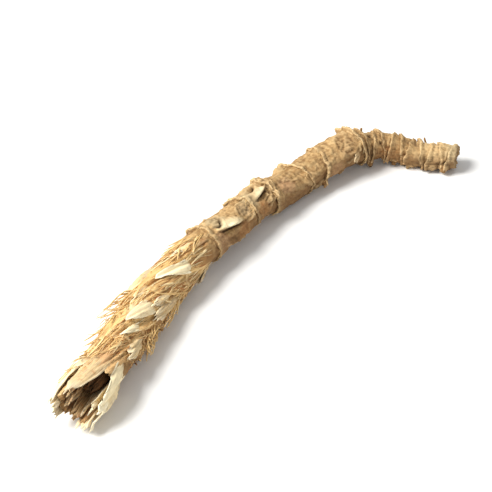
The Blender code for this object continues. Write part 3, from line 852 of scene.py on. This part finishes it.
def grow_bark(finish):
    draw = random.Random(SEED)
    rims = rims_along(draw)
    scars = root_scars(rims, draw)
    bands = Bands()
    add_broken_end(bands)
    add_mouth(bands, *add_internodes(bands, rims))
    place = bands.grid("place")
    angle = np.broadcast_to(bands.angles, place.shape)
    relief = BarkRelief(place, angle, scars)
    narrowing = bands.grid("narrowing")
    inside = bands.grid("inside")
    outside = (inside < 0.01) & (narrowing > 0.99)
    radius = skin_radius(place, angle) + bands.grid("lift") - bands.grid("wall")
    radius = (radius + relief.height * np.where(outside, 1.0, 0.35)) * narrowing
    points = Stem().spot(place, angle + relief.lean / radius, radius)
    faces = [face[::-1] for face in grid_faces(len(place), SIDES, closed=True)]
    hubs = place.size, place.size + 1
    last_row = place.size - SIDES
    for k in range(SIDES):
        ahead = (k + 1) % SIDES
        faces += [(hubs[0], ahead, k), (hubs[1], last_row + k, last_row + ahead)]

    # The grain is laid out in millimetres as if the stem were straight, and winds with the ribs of the sheath
    wound = angle + RIB_TWIST * np.maximum(place - SHEATH_FROM, 0.0)
    sheath = ease(0.107, 0.1125, place)
    # Painted shade from the relief and from the rows
    groove = np.clip(relief.groove * outside + bands.grid("groove"), 0, 1)
    lip = np.maximum(bands.grid("lip"), 0.9 * relief.arch)
    # Painted shade on the flanks and underside, the more the skin faces down
    underside_shade = ease(0.84, -0.10, np.cos(angle))
    # Height of the relief, for painted highlight on its crests and painted shade in its low spots
    level = np.clip(0.5 + relief.height / (0.9 * MM), 0, 1)
    layers = {
        "run": (place / MM, radius * np.cos(wound) / MM, radius * np.sin(wound) / MM),
        "marks": (lip * outside, groove, relief.pit_shade * outside),
        "zones": (relief.sheathed * (1 - sheath), sheath, inside),
        "tints": [patches(place, angle, shapes) for shapes in (GREY_PATCHES, PINK_PATCHES, RUST_PATCHES)],
        "scars": (relief.scar * outside, relief.dot * outside, relief.crust * outside),
        "sides": (underside_shade * outside, 1 - ease(0.007, 0.011, place), np.zeros(place.shape)),
        "folds": (relief.fold * outside, level, relief.sheathed),
    }
    for name, columns in layers.items():
        layers[name] = [np.append(column, (np.mean(column[0]), np.mean(column[-1]))) for column in columns]
    points = np.concatenate((points.reshape(-1, 3), [points[0].mean(axis=0), points[-1].mean(axis=0)]))
    return mesh_object("bark", points, faces, finish, layers)


# Sheets: leaf bases and tip strips
SHEET_ROWS = 30
SHEET_COLUMNS = 19
SHEET_THICKNESS = 0.00020
SHEET_CLEAR = 0.00012


def sheet_points(stem, shape, taper, clings, seed):
    """A bent, veined sheet with a torn end, rooted in the stem."""
    place, degrees, direction, length, width, rise, curl, rounding, tone = shape
    turn = math.radians(direction)
    out, side = np.meshgrid(np.linspace(0, 1, SHEET_ROWS), np.linspace(-1, 1, SHEET_COLUMNS), indexing="ij")
    torn = 0.30 * np.abs(grain(side * 2.0, seed, 0.0)) + 0.14 * np.abs(grain(side * 8.0, seed + 9, 0.0))
    torn = 1 - torn * (1 - 0.7 * ease(0.5, 0.8, rounding))
    ahead = length * out * torn * 1.12 * (1 - rounding * side * side)
    frayed = 1 + 0.20 * grain(out * 5.0, np.sign(side) * 3.0, seed)
    across = 0.5 * width * side * (1 - taper * out * out) * frayed * 1.08
    spot_place = place + ahead * math.cos(turn) - across * math.sin(turn)
    spot_angle = ahead * math.sin(turn) + across * math.cos(turn)
    spot_angle = math.radians(degrees) + spot_angle / along(GIRTH, place)
    cling = (1 - curl) * (1 - ease(0.45, 1.0, out)) * clings
    height = -BLADE_ROOT + (BLADE_ROOT + rise) * (1 - (1 - out) ** 3) * (1 - (curl + cling) * side * side)
    veins = 0.00010 * np.sin(side * 17 + seed) + 0.00016 * grain(side * 4.0, out * 2.0, seed + 3)
    rolled = 0.00055 * (1 - 0.8 * rounding) * ease(0.6, 1.0, out) * grain(side * 1.6, seed + 5, out * 2)
    radius = skin_radius(spot_place, spot_angle) + height + (veins + rolled) * ease(0.1, 0.5, out)
    points = stem.spot(spot_place, spot_angle, radius)
    points[..., 2] = np.maximum(points[..., 2], SHEET_CLEAR)
    edge = np.maximum(ease(0.75, 1.0, out), ease(0.8, 1.0, np.abs(side)))
    return points, {
        "run": (ahead / MM + seed * 7.3, across / MM, np.full(out.shape, seed * 3.1)),
        "marks": (edge, 1 - ease(0.08, 0.60 - 0.36 * tone, out), np.full(out.shape, tone)),
    }


def joined(parts):
    """The layers of several pieces, end to end."""
    return {name: np.concatenate([part[name] for part in parts], axis=1) for name in parts[0]}


def grow_sheets(name, shapes, taper, clings, finish, first_seed):
    stem = Stem()
    points, faces, layers = [], [], []
    for k, shape in enumerate(shapes):
        sheet, sheet_layers = sheet_points(stem, shape, taper, clings, first_seed + k)
        first = k * SHEET_ROWS * SHEET_COLUMNS
        faces += grid_faces(SHEET_ROWS, SHEET_COLUMNS, closed=False, first=first)
        points.append(sheet.reshape(-1, 3))
        layers.append(sheet_layers)
    made = mesh_object(name, np.concatenate(points), faces, finish, joined(layers))
    solid = made.modifiers.new("thickness", "SOLIDIFY")
    solid.thickness = SHEET_THICKNESS
    solid.offset = 0.0
    return made


def unit(vectors):
    return vectors / (np.linalg.norm(vectors, axis=-1, keepdims=True) + 1e-12)


class Strands:
    """Many thin tapered strands, each a row of points with its half width and half thickness."""

    def __init__(self):
        self.stem = Stem()
        self.points = []
        self.faces = []
        self.layers = []

    def add(self, place, angle, height, wide, thick, tone, sides):
        """Strands over the skin: each grid has a row for a strand and a column for a point of it."""
        path = self.stem.spot(place, angle, skin_radius(place, angle) + height)
        number, length = path.shape[:2]
        tangent = unit(np.gradient(path, axis=1))
        across = unit(np.cross(tangent, self.stem.outward(place, angle)))
        rise = np.cross(across, tangent)
        turns = np.arange(sides) * 2 * math.pi / sides + math.pi / 2
        ring = path[:, :, None, :]
        for direction, half, wave in ((across, wide, np.cos(turns)), (rise, thick, np.sin(turns))):
            ring = ring + direction[:, :, None, :] * (half[..., None] * wave)[..., None]
        ring[..., 2] = np.maximum(ring[..., 2], STRAND_CLEAR)
        count = sum(len(points) for points in self.points)
        self.points.append(ring.reshape(-1, 3))
        for first in range(count, count + number * length * sides, length * sides):
            last = first + (length - 1) * sides
            self.faces += [face[::-1] for face in grid_faces(length, sides, closed=True, first=first)]
            self.faces += [tuple(range(first, first + sides)), tuple(range(last + sides - 1, last - 1, -1))]
        steps = np.linalg.norm(np.diff(path, axis=1), axis=-1)
        run = np.concatenate((np.zeros((number, 1)), np.cumsum(steps, axis=1)), axis=1) / MM
        share = np.linspace(0, 1, length)[None, :]
        own_run = (run, np.arange(number)[:, None] * 1.7, tone * 40)
        layers = {"run": own_run, "marks": (share, 0 * share, tone)}
        self.layers.append({
            name: [np.broadcast_to(column[..., None], (number, length, sides)).ravel() for column in columns]
            for name, columns in layers.items()
        })

    def finish_as(self, name, finish):
        return mesh_object(name, np.concatenate(self.points), self.faces, finish, joined(self.layers))


def tapered(share, root=0.7, tip=0.25):
    """Thickness along a strand: full in its middle, thinner at its root and its tip."""
    return np.minimum(1.0, root + share * 3) * (1 - (1 - tip) * share ** 2.5)


# Strands of the fibre coat, as (number, from, to, length, half width, half thickness, sides, loose share)
COAT = (
    (220, 0.0765, 0.1080, 0.0110, 0.00022, 0.00008, 6, 0.10),
    (460, 0.0760, 0.1130, 0.0120, 0.00012, 0.00010, 4, 0.10),
    (1100, 0.0750, 0.1150, 0.0100, 0.000060, 0.00005, 3, 0.14),
)
COAT_END = 0.1205
COAT_END_BY_LEAF = 0.1150
COAT_LEAF_ANGLE = 80.0
COAT_POINTS = 11
COAT_SLOPE = -15
COAT_SLOPE_SPREAD = 11
BUNDLES = 19
STRAND_CLEAR = 0.00002


def grow_coat(finish):
    """The coat of fibres, ribs and ribbons that the weathered sheaths leave on the tip half."""
    draw = np.random.default_rng(SEED + 1)
    strands = Strands()
    share = np.linspace(0, 1, COAT_POINTS)[None, :]
    for number, low, high, length, wide, thick, sides, loose_share in COAT:
        each = (number, 1)
        start = draw.uniform(low, high, each)
        angle = draw.uniform(-math.pi, math.pi, each)
        by_leaf = ease(0.55, 0.9, np.cos(angle - math.radians(COAT_LEAF_ANGLE)))
        last = COAT_END - (COAT_END - COAT_END_BY_LEAF) * by_leaf
        start = np.minimum(start, last - 0.002)
        reach = np.minimum(length * draw.uniform(0.5, 1.3, each), last - start)
        angle = angle + 0.10 * np.sin(angle * BUNDLES + start * 900)
        slope = np.radians(COAT_SLOPE + COAT_SLOPE_SPREAD * draw.normal(0, 1, each))
        place = start + reach * share
        flow = 0.30 * ripple(angle, 1.6, 400.0, place * 60)
        turned = angle + flow + reach * share * np.tan(slope) / along(GIRTH, place)
        loose = draw.uniform(0, 1, each) < loose_share
        bed = 0.00004 + 0.00016 * np.abs(ripple(turned, 6.0, 420.0, place * 90))
        root = -0.00025 * (1 - ease(0.0, 0.15, share))
        lift = draw.uniform(0.0002, 0.0011, each) * loose * ease(0.35, 1.0, share)
        tone = draw.uniform(0, 1, each)
        size = draw.uniform(0.6, 1.35, each) * tapered(share)
        strands.add(place, turned, bed + root + lift, wide * size, thick * size, tone, sides)
    return strands.finish_as("fibre_coat", finish)


# Hairs: those that stand for each stiff fibre of the source's tufts, and those along the lip of each node
HAIRS_A_FIBRE = 3
HAIR_POINTS = 12
HAIR_RADIUS = 0.00016
LIP_HAIRS = 26
LIP_HAIR_RADIUS = 0.00005
MEAN_RADIUS = 0.0045


def tuft_fibres(draw):
    """The stiff fibres of the tufts, as (start, angle, length, turn, height at the tip)."""
    found = []
    for place, degrees, direction, length, number, spread, rise in TUFTS:
        for _ in range(number):
            turn = math.radians(direction + draw.uniform(-spread, spread))
            reach = length * draw.uniform(0.6, 1.05)
            start = place + draw.uniform(-0.0035, 0.0035)
            angle = math.radians(degrees + draw.uniform(-24, 24))
            found.append((start, angle, reach, turn, rise * draw.uniform(0.3, 1.0)))
    return found


def grow_hairs(finish):
    """Pale hairs: the tufts that stand off the sheath, and short ones along the lips of the nodes."""
    draw = random.Random(SEED)
    rims = rims_along(draw)
    root_scars(rims, draw)
    fibres = np.repeat(np.array(tuft_fibres(draw)), HAIRS_A_FIBRE, axis=0)
    many = np.random.default_rng(SEED + 2)
    strands = Strands()
    share = np.linspace(0, 1, HAIR_POINTS)[None, :]

    each = (len(fibres), 1)
    start, angle, reach, turn, height = (fibres[:, k:k + 1] for k in range(5))
    start = start + many.normal(0, 0.0006, each)
    angle = angle + many.normal(0, 0.10, each)
    turn = turn + many.normal(0, 0.07, each) + many.normal(0, 0.07, each) * share
    reach = reach * many.uniform(0.75, 1.12, each)
    place = start + reach * share * np.cos(turn)
    turned = angle + reach * share * np.sin(turn) / along(GIRTH, start)
    rise = (height + 0.0003) * share ** many.uniform(0.8, 2.2, each)
    lift = rise - 0.0003 + many.normal(0, 0.00035, each) * np.sin(share * math.pi)
    size = many.uniform(0.6, 1.3, each) * tapered(share, 0.9, 0.35) * HAIR_RADIUS
    strands.add(place, turned, lift, size, size, many.uniform(0.35, 0.85, each), 5)

    each = (LIP_HAIRS, 1)
    for rim in rims[-len(NODES):]:
        angle = many.uniform(-math.pi, math.pi, each)
        reach = many.uniform(0.0007, 0.0022, each)
        turn = many.normal(0, 0.5, each)
        place = rim.at(angle) - 0.0002 + reach * share * np.cos(turn)
        turned = angle + reach * share * np.sin(turn) / MEAN_RADIUS
        lift = rim.height(angle) * (1 - 0.5 * share) - 0.0001 + many.uniform(0.0, 0.0006, each) * share
        size = many.uniform(0.5, 1.0, each) * tapered(share, 1.0, 0.3) * LIP_HAIR_RADIUS
        strands.add(place, turned, lift, size, size, many.uniform(0.3, 0.9, each), 3)
    return strands.finish_as("hairs", finish)


# Little dark stubs on the upper side of the rings, as (place, angle, radius, height)
RING_STUBS = ((0.0078, -58, 0.00026, 0.0014), (0.0208, -52, 0.00034, 0.0013))
STUB_ROOT = 0.0006


def grow_rootlets(finish):
    """Stubs of roots on their scars and on the rings."""
    draw = random.Random(SEED)
    scars = root_scars(rims_along(draw), draw)
    stubs = [(place, angle, radius * 0.75, height) for place, angle, radius, height, stub in scars if stub]
    stubs += [(place, math.radians(degrees), radius, height) for place, degrees, radius, height in RING_STUBS]
    strands = Strands()
    share = np.linspace(0, 1, 9)[None, :]
    for k, (place, angle, radius, height) in enumerate(stubs):
        bend = 0.0004 * grain(share * 1.5, k * 3.0, 1.0)
        lift = -STUB_ROOT + (height + STUB_ROOT) * share
        size = radius * (1.15 - 0.4 * share) * (1 + 0.25 * grain(share * 6, k * 2.0, 4.0))
        strands.add(place + bend, angle + bend / MEAN_RADIUS, lift, size, size, np.full((1, 1), 0.15), 9)
    return strands.finish_as("root_stubs", finish)


class Value:
    """A socket that takes part in arithmetic: each sign adds a Math node."""

    def __init__(self, finish, socket):
        self.finish = finish
        self.socket = socket

    def __add__(self, other):
        return self.finish.math("ADD", self, other)

    def __radd__(self, other):
        return self.finish.math("ADD", other, self)

    def __sub__(self, other):
        return self.finish.math("SUBTRACT", self, other)

    def __rsub__(self, other):
        return self.finish.math("SUBTRACT", other, self)

    def __mul__(self, other):
        return self.finish.math("MULTIPLY", self, other)

    def __rmul__(self, other):
        return self.finish.math("MULTIPLY", other, self)

    def between(self, low, high):
        """0 below low, 1 above high and eased between."""
        sockets = {"Value": self, "From Min": low, "From Max": high}
        return self.finish.node("ShaderNodeMapRange", {"interpolation_type": "SMOOTHSTEP"}, sockets)[0]

    def clipped(self):
        return self.finish.node("ShaderNodeClamp", {}, {"Value": self})[0]


class Finish:
    """A material that is built up from mesh layers, noise and mixed colours."""

    def __init__(self, name, slot_colour):
        self.material = bpy.data.materials.new(name)
        self.material.use_nodes = True
        self.material.diffuse_color = (*slot_colour, 1.0)
        self.tree = self.material.node_tree

    def plug(self, node, sockets):
        for name, value in sockets.items():
            if isinstance(value, Value):
                self.tree.links.new(value.socket, node.inputs[name])
            else:
                node.inputs[name].default_value = value

    def node(self, kind, settings, sockets):
        """A new node's outputs."""
        node = self.tree.nodes.new(kind)
        for name, value in settings.items():
            setattr(node, name, value)
        self.plug(node, sockets)
        return [Value(self, socket) for socket in node.outputs]

    def math(self, operation, a, b):
        return self.node("ShaderNodeMath", {"operation": operation}, {0: a, 1: b})[0]

    def layer(self, name):
        return self.node("ShaderNodeAttribute", {"attribute_type": "GEOMETRY", "attribute_name": name}, {})[1]

    def split(self, name):
        return self.node("ShaderNodeSeparateXYZ", {}, {"Vector": self.layer(name)})

    def noise(self, vector, stretch, detail=4.0, roughness=0.6):
        """Noise over a vector, which is stretched first."""
        vector = self.node("ShaderNodeVectorMath", {"operation": "MULTIPLY"}, {0: vector, 1: stretch})[0]
        sockets = {"Vector": vector, "Scale": 1.0, "Detail": detail, "Roughness": roughness}
        return self.node("ShaderNodeTexNoise", {"noise_dimensions": "3D"}, sockets)[0]

    def mix(self, factor, under, over):
        """The colour under, covered by the colour over as far as the factor says."""
        under, over = (value if isinstance(value, Value) else (*value, 1.0) for value in (under, over))
        settings = {"data_type": "RGBA", "clamp_factor": True}
        return self.node("ShaderNodeMix", settings, {0: factor, 6: under, 7: over})[2]

    def cover(self, colour, *coats):
        """The colour with coats laid over it, each a colour and how far it covers."""
        for over, factor in coats:
            colour = self.mix(factor, colour, over)
        return colour

    def bump(self, height, strength, distance, **rest):
        """A bump over the surface, or over the bump that is given as Normal."""
        sockets = {"Height": height, "Strength": strength, "Distance": distance, **rest}
        return self.node("ShaderNodeBump", {}, sockets)[0]

    def close(self, colour, roughness, specular, **rest):
        sockets = {"Base Color": colour, "Roughness": roughness, "Specular IOR Level": specular, **rest}
        self.plug(self.tree.nodes["Principled BSDF"], sockets)
        return self.material


def srgb(red, green, blue):
    """A colour from its screen values in 0 to 255."""
    shares = [value / 255 for value in (red, green, blue)]
    return tuple(v / 12.92 if v < 0.04045 else ((v + 0.055) / 1.055) ** 2.4 for v in shares)


def bark_finish(looks):
    """Bark, sheath and the inside of the mouth, coloured by the layers that the mesh carries, painted shade
    and highlight among them.
    """
    finish = Finish("dry_bark", looks.bark_light)
    run = finish.layer("run")
    lip, groove, pit_shade = finish.split("marks")
    fibre, sheath, inside = finish.split("zones")
    grey, pink, rust = finish.split("tints")
    scar, dot, crust = finish.split("scars")
    underside_shade, old_end, _ = finish.split("sides")
    fold, level, sheathed = finish.split("folds")
    streaks = finish.noise(run, (0.16, 1.5, 1.5), 5.0)
    mottle = finish.noise(run, (0.42, 0.42, 0.42))
    blotch = finish.noise(run, (1.05, 1.05, 1.05), 4.0, 0.62)
    rings = finish.noise(run, (1.5, 0.22, 0.22), 3.0)
    threads = finish.noise(run, (0.55, 6.5, 6.5))
    grit = finish.noise(run, (4.2, 4.2, 4.2), 3.0, 0.65)
    scurf = finish.noise(run, (1.9, 2.66, 2.66), 4.0, 0.7)
    bare = (1 - sheathed).clipped()
    stained = 1 - 0.5 * (pink + rust).clipped()

    mottled = (0.6 * blotch + 0.28 * rings + 0.12 * streaks).between(0.40, 0.60)
    lengthwise = finish.mix(streaks.between(0.30, 0.60), looks.bark_dark_and_shade, looks.bark_light)
    colour = finish.cover(
        finish.mix(mottled, looks.bark_brown, looks.bark_light),
        (lengthwise, sheathed),
        (looks.bark_pale_and_highlight, mottle.between(0.50, 0.74) * 0.5),
        # Painted highlight on the crests of the relief and painted shade in its low spots
        (looks.bark_pale_and_highlight, level.between(0.62, 1.0) * 0.45 * bare),
        (looks.bark_dark_and_shade, (1 - level).between(0.52, 0.85) * 0.6 * bare),
        (looks.sheath_gold, fibre * (0.65 + 0.5 * streaks)),
        (looks.rust, fibre * mottle.between(0.54, 0.68) * 0.45),
        (looks.sheath_orange, sheath * (0.45 + 0.5 * streaks)),
        (looks.bark_pale_and_highlight, old_end * (0.35 + 0.5 * blotch)),
        (looks.grey, grey * 0.75 * (0.6 + 0.5 * scurf)),
        (looks.pink, pink * 0.6 * (0.2 + 1.1 * blotch)),
        (looks.rust, rust * 0.75 * (0.2 + 1.1 * mottle)),
        (looks.bark_pale_and_highlight, scurf.between(0.53, 0.70) * 0.35 * (1 - 0.6 * sheath)),
        # Painted shade on the flanks and underside, less where the bark is stained
        (looks.bark_dark_and_shade, underside_shade * stained * (0.60 + 0.5 * mottle)),
        (looks.bark_dark_and_shade, crust * 0.35),
        (looks.scar, scar * 0.7),
        (looks.lip, lip * (scurf * 1.5 - 0.15)),
        (looks.papery, fold * 1.15),
        (looks.lip, dot * 0.55),
        (looks.bark_dark_and_shade, threads.between(0.56, 0.70) * 0.30 * sheathed),
        (looks.crevice_shade_and_grit, grit.between(0.60, 0.75) * 0.30),
        # Reddish brown of the inner tissue on the broken end and in the mouth, made darker as painted shade
        # for the hollow
        (looks.inside, inside * (0.65 + 0.35 * streaks)),
        # Painted shade in the grooves, pits and hollows, and deeper in the mouth
        (looks.crevice_shade_and_grit, groove * (0.52 + 0.25 * inside - 0.22 * sheathed) + pit_shade * 0.8),
    )
    fine = finish.bump(threads * sheathed + blotch * bare + grit * 0.7, 0.55, 0.00016)
    coarse = finish.bump(streaks * sheathed + mottle * bare + scurf * 0.6, 0.45, 0.00030, Normal=fine)
    return finish.close(colour, (0.80 + 0.22 * grit).clipped(), 0.28, Normal=coarse)


def sheet_finish(looks):
    """Papery leaf base: bark brown at its root, cream and veined where it is thin and torn."""
    finish = Finish("papery_sheath", looks.papery)
    run = finish.layer("run")
    edge, root, tone = finish.split("marks")
    veins = finish.noise(run, (0.35, 4.6, 1.0))
    mottle = finish.noise(run, (0.8, 0.8, 0.8))
    ground = finish.mix(tone.between(0.25, 0.55), looks.bark_light, looks.sheath_gold)
    colour = finish.cover(
        finish.mix(veins.between(0.36, 0.64), looks.bark_dark_and_shade, ground),
        (looks.papery, tone * 1.1 - 0.25 * veins),
        (looks.rust, mottle.between(0.52, 0.70) * (1 - tone * 0.7) * 0.7),
        (looks.papery_edge, edge * tone * 0.8),
        (looks.bark_light, root * (0.75 + 0.5 * veins)),
        (looks.bark_dark_and_shade, root * root * (1.4 - veins)),
    )
    return finish.close(colour, 0.82, 0.3, Normal=finish.bump(veins + mottle * 0.4, 0.5, 0.00018))


def fibre_finish(looks):
    """Dry fibre: most strands golden, some cream and some rust brown, darker at their roots."""
    finish = Finish("dry_fibre", looks.fibre)
    share, _, tone = finish.split("marks")
    wave = finish.noise(finish.layer("run"), (0.5, 1.0, 1.0), 2.0, 0.5)
    colour = finish.cover(
        finish.mix(tone.between(0.06, 0.36), looks.rust, looks.fibre),
        (looks.fibre_pale, tone.between(0.62, 0.92)),
        (looks.bark_dark_and_shade, wave.between(0.5, 0.72) * 0.25),
        (looks.bark_dark_and_shade, (0.2 - share).between(0.0, 0.2) * 0.35),
    )
    return finish.close(colour, 0.7, 0.35, Normal=finish.bump(wave, 0.3, 0.00010))


def stub_finish(looks):
    """Root stubs: dark brown and rough."""
    finish = Finish("root_stub", looks.bark_dark_and_shade)
    rough = finish.noise(finish.layer("run"), (2.4, 2.4, 2.4))
    colour = finish.mix(rough.between(0.35, 0.65), looks.bark_dark_and_shade, looks.bark_brown)
    return finish.close(colour, 0.9, 0.25, Normal=finish.bump(rough, 0.6, 0.00020))


def floor_finish(stage):
    return Finish("pale_floor", stage.floor_colour).close((*stage.floor_colour, 1.0), 0.75, 0.2)


def colour_property(name, description, default):
    return bpy.props.FloatVectorProperty(
        name=name, description=description, default=default, subtype="COLOR", size=3, min=0.0, max=1.0
    )


class CalamusLooks(bpy.types.PropertyGroup):
    """Colours of the dried rhizome, some also used for painted shade and highlight."""

    bark_light: colour_property("Light bark", "Lit tan of the internodes", srgb(196, 162, 112))
    # Dark bark: older streaks, and also painted shade on the underside and in the relief's low spots
    bark_dark_and_shade: colour_property("Dark bark", "Brown of the older streaks", srgb(124, 90, 54))
    bark_brown: colour_property("Brown bark", "Hollows of the mottled internodes", srgb(152, 117, 74))
    # Pale bark: dusty, dry patches, and also painted highlight on the relief's crests
    bark_pale_and_highlight: colour_property("Pale bark", "Dusty, dry patches", srgb(220, 190, 140))
    # Dark colour of painted shade in grooves and pits, and of specks of grit
    crevice_shade_and_grit: colour_property("Crevice", "Grooves and pits", srgb(56, 38, 24))
    lip: colour_property("Lip", "Edges of the node rims", srgb(234, 204, 154))
    scar: colour_property("Scar", "Faces of the root scars", srgb(210, 176, 128))
    grey: colour_property("Grey scale", "Weathered patches", srgb(184, 166, 130))
    pink: colour_property("Pink flank", "Rosy bark on the flanks", srgb(186, 142, 108))
    rust: colour_property("Rust", "Reddish bark between the fibres", srgb(166, 108, 58))
    sheath_gold: colour_property("Golden sheath", "Sheath under the fibres", srgb(226, 188, 124))
    sheath_orange: colour_property("Tip sheath", "Orange tan sheath of the tip", srgb(224, 180, 122))
    # Inside: reddish brown of the inner tissue, made darker as painted shade for the hollow mouth
    inside: colour_property("Inside", "Inside of the torn mouth", srgb(98, 60, 34))
    papery: colour_property("Papery", "Thin dry leaf base", srgb(247, 230, 188))
    papery_edge: colour_property("Papery edge", "Torn edge of a leaf base", srgb(255, 246, 216))
    fibre: colour_property("Fibre", "Most of the fibres", srgb(226, 190, 128))
    fibre_pale: colour_property("Pale fibre", "Bleached fibres and hairs", srgb(242, 220, 170))


class CalamusStage(bpy.types.PropertyGroup):
    """Floor, light and camera."""

    floor_colour: colour_property("Floor", "Plain pale floor", (0.86, 0.86, 0.85))
    azimuth: bpy.props.FloatProperty(
        name="Azimuth", description="Camera direction round the rhizome", default=math.radians(-47.0),
        subtype="ANGLE",
    )
    elevation: bpy.props.FloatProperty(
        name="Elevation", description="Camera height over the surface", default=math.radians(37.0),
        subtype="ANGLE",
    )
    view_width: bpy.props.FloatProperty(
        name="View width", description="Width that the picture takes in at the rhizome", default=0.102,
        subtype="DISTANCE", unit="LENGTH",
    )
    lens: bpy.props.FloatProperty(name="Lens", description="Focal length in millimetres", default=150.0)


def settle(piece):
    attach(piece, BODY)
    return piece


class CALAMUS_OT_grow_bark(bpy.types.Operator):
    """Grows the ringed and sheathed stem with its rims, scars, pits and torn mouth"""

    bl_idname = "calamus.grow_bark"
    bl_label = "Grow Bark"

    def execute(self, context):
        stem = grow_bark(bark_finish(context.scene.calamus_looks))
        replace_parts(settle(stem), STEM_NODE)
        return {"FINISHED"}


class CALAMUS_OT_grow_leaf_bases(bpy.types.Operator):
    """Grows the dry leaf bases along the stem and the strips of sheath past its mouth"""

    bl_idname = "calamus.grow_leaf_bases"
    bl_label = "Grow Leaf Bases"

    def execute(self, context):
        finish = sheet_finish(context.scene.calamus_looks)
        settle(grow_sheets("leaf_bases", LEAF_BASES, LEAF_BASE_TAPER, 0.9, finish, 1))
        settle(grow_sheets("tip_strips", TIP_STRIPS + INNER_LEAVES, TIP_STRIP_TAPER, 0.0, finish, 41))
        return {"FINISHED"}


class CALAMUS_OT_grow_fibres(bpy.types.Operator):
    """Grows the coat of fibres, the pale hair tufts and the stubs of roots"""

    bl_idname = "calamus.grow_fibres"
    bl_label = "Grow Fibres"

    def execute(self, context):
        looks = context.scene.calamus_looks
        finish = fibre_finish(looks)
        settle(grow_coat(finish))
        settle(grow_hairs(finish))
        settle(grow_rootlets(stub_finish(looks)))
        return {"FINISHED"}


# Stage. Lights as (name, metres up, right and forward from the rhizome, size, power, colour)
FLOOR_HALF = 1.5
FLOOR_GAP = 0.0001
SKY_STRENGTH = 0.48
SENSOR_WIDTH = 36.0
CLIP_START = 0.01
LIGHTS = (
    ("key", (0.495, -0.396, 0.077), 0.36, 6.7, (1.0, 0.985, 0.96)),
    ("fill", (0.300, 0.300, 0.540), 0.50, 0.5, (1.0, 1.0, 1.0)),
)


def aimed(name, data, spot, target):
    """An object at a spot, turned to a target."""
    made = bpy.data.objects.new(name, data)
    made.location = spot
    made.rotation_euler = (target - spot).to_track_quat("-Z", "Y").to_euler()
    bpy.context.scene.collection.objects.link(made)
    return made


class CALAMUS_OT_set_stage(bpy.types.Operator):
    """Sets the pale floor, the soft light and the camera"""

    bl_idname = "calamus.set_stage"
    bl_label = "Set Stage"

    def execute(self, context):
        scene = context.scene
        stage = scene.calamus_stage
        points = [(x * FLOOR_HALF, y * FLOOR_HALF, 0) for x, y in ((-1, -1), (1, -1), (1, 1), (-1, 1))]
        floor = mesh_object("floor", points, [(0, 1, 2, 3)], floor_finish(stage))
        floor.location.z = -FLOOR_GAP

        scene.world = bpy.data.worlds.new("soft_white")
        scene.world.use_nodes = True
        background = scene.world.node_tree.nodes["Background"]
        background.inputs["Color"].default_value = (1.0, 1.0, 1.0, 1.0)
        background.inputs["Strength"].default_value = SKY_STRENGTH
        scene.view_settings.view_transform = "Standard"

        target = (Vector(CAD_BOX[0]) + Vector(CAD_BOX[1])) / 2
        up = Vector((0.0, 0.0, 1.0))
        right = Vector((math.cos(stage.azimuth), math.sin(stage.azimuth), 0.0))
        forward = Vector((math.sin(stage.azimuth), -math.cos(stage.azimuth), 0.0))
        for name, (above, beside, before), size, power, colour in LIGHTS:
            data = bpy.data.lights.new(name, "AREA")
            data.shape, data.size, data.energy, data.color = "DISK", size, power, colour
            aimed(name, data, target + up * above + right * beside + forward * before, target)

        data = bpy.data.cameras.new("camera")
        data.lens = stage.lens
        data.sensor_width = SENSOR_WIDTH
        data.clip_start = CLIP_START
        distance = stage.view_width * stage.lens / SENSOR_WIDTH
        view = forward * math.cos(stage.elevation) + up * math.sin(stage.elevation)
        scene.camera = aimed("camera", data, target + view * distance, target)
        return {"FINISHED"}


class CALAMUS_PT_panel(bpy.types.Panel):
    """Lists the pieces and their settings"""

    bl_idname = "CALAMUS_PT_panel"
    bl_label = "Dried Calamus Rhizome"
    bl_space_type = "VIEW_3D"
    bl_region_type = "UI"
    bl_category = "Calamus"

    def draw(self, context):
        for step in STEPS:
            self.layout.operator(step.bl_idname)
        for settings in (context.scene.calamus_looks, context.scene.calamus_stage):
            column = self.layout.column()
            for name in settings.__annotations__:
                column.prop(settings, name)


STEPS = (CALAMUS_OT_grow_bark, CALAMUS_OT_grow_leaf_bases, CALAMUS_OT_grow_fibres, CALAMUS_OT_set_stage)
CLASSES = (CalamusLooks, CalamusStage, *STEPS, CALAMUS_PT_panel)


def register():
    for made in CLASSES:
        bpy.utils.register_class(made)
    bpy.types.Scene.calamus_looks = bpy.props.PointerProperty(type=CalamusLooks)
    bpy.types.Scene.calamus_stage = bpy.props.PointerProperty(type=CalamusStage)


def unregister():
    del bpy.types.Scene.calamus_stage
    del bpy.types.Scene.calamus_looks
    for made in reversed(CLASSES):
        bpy.utils.unregister_class(made)


def main():
    register()
    bpy.ops.calamus.grow_bark()
    bpy.ops.calamus.grow_leaf_bases()
    bpy.ops.calamus.grow_fibres()
    bpy.ops.calamus.set_stage()
    bpy.context.view_layer.update()


if __name__ == "__main__":
    main()
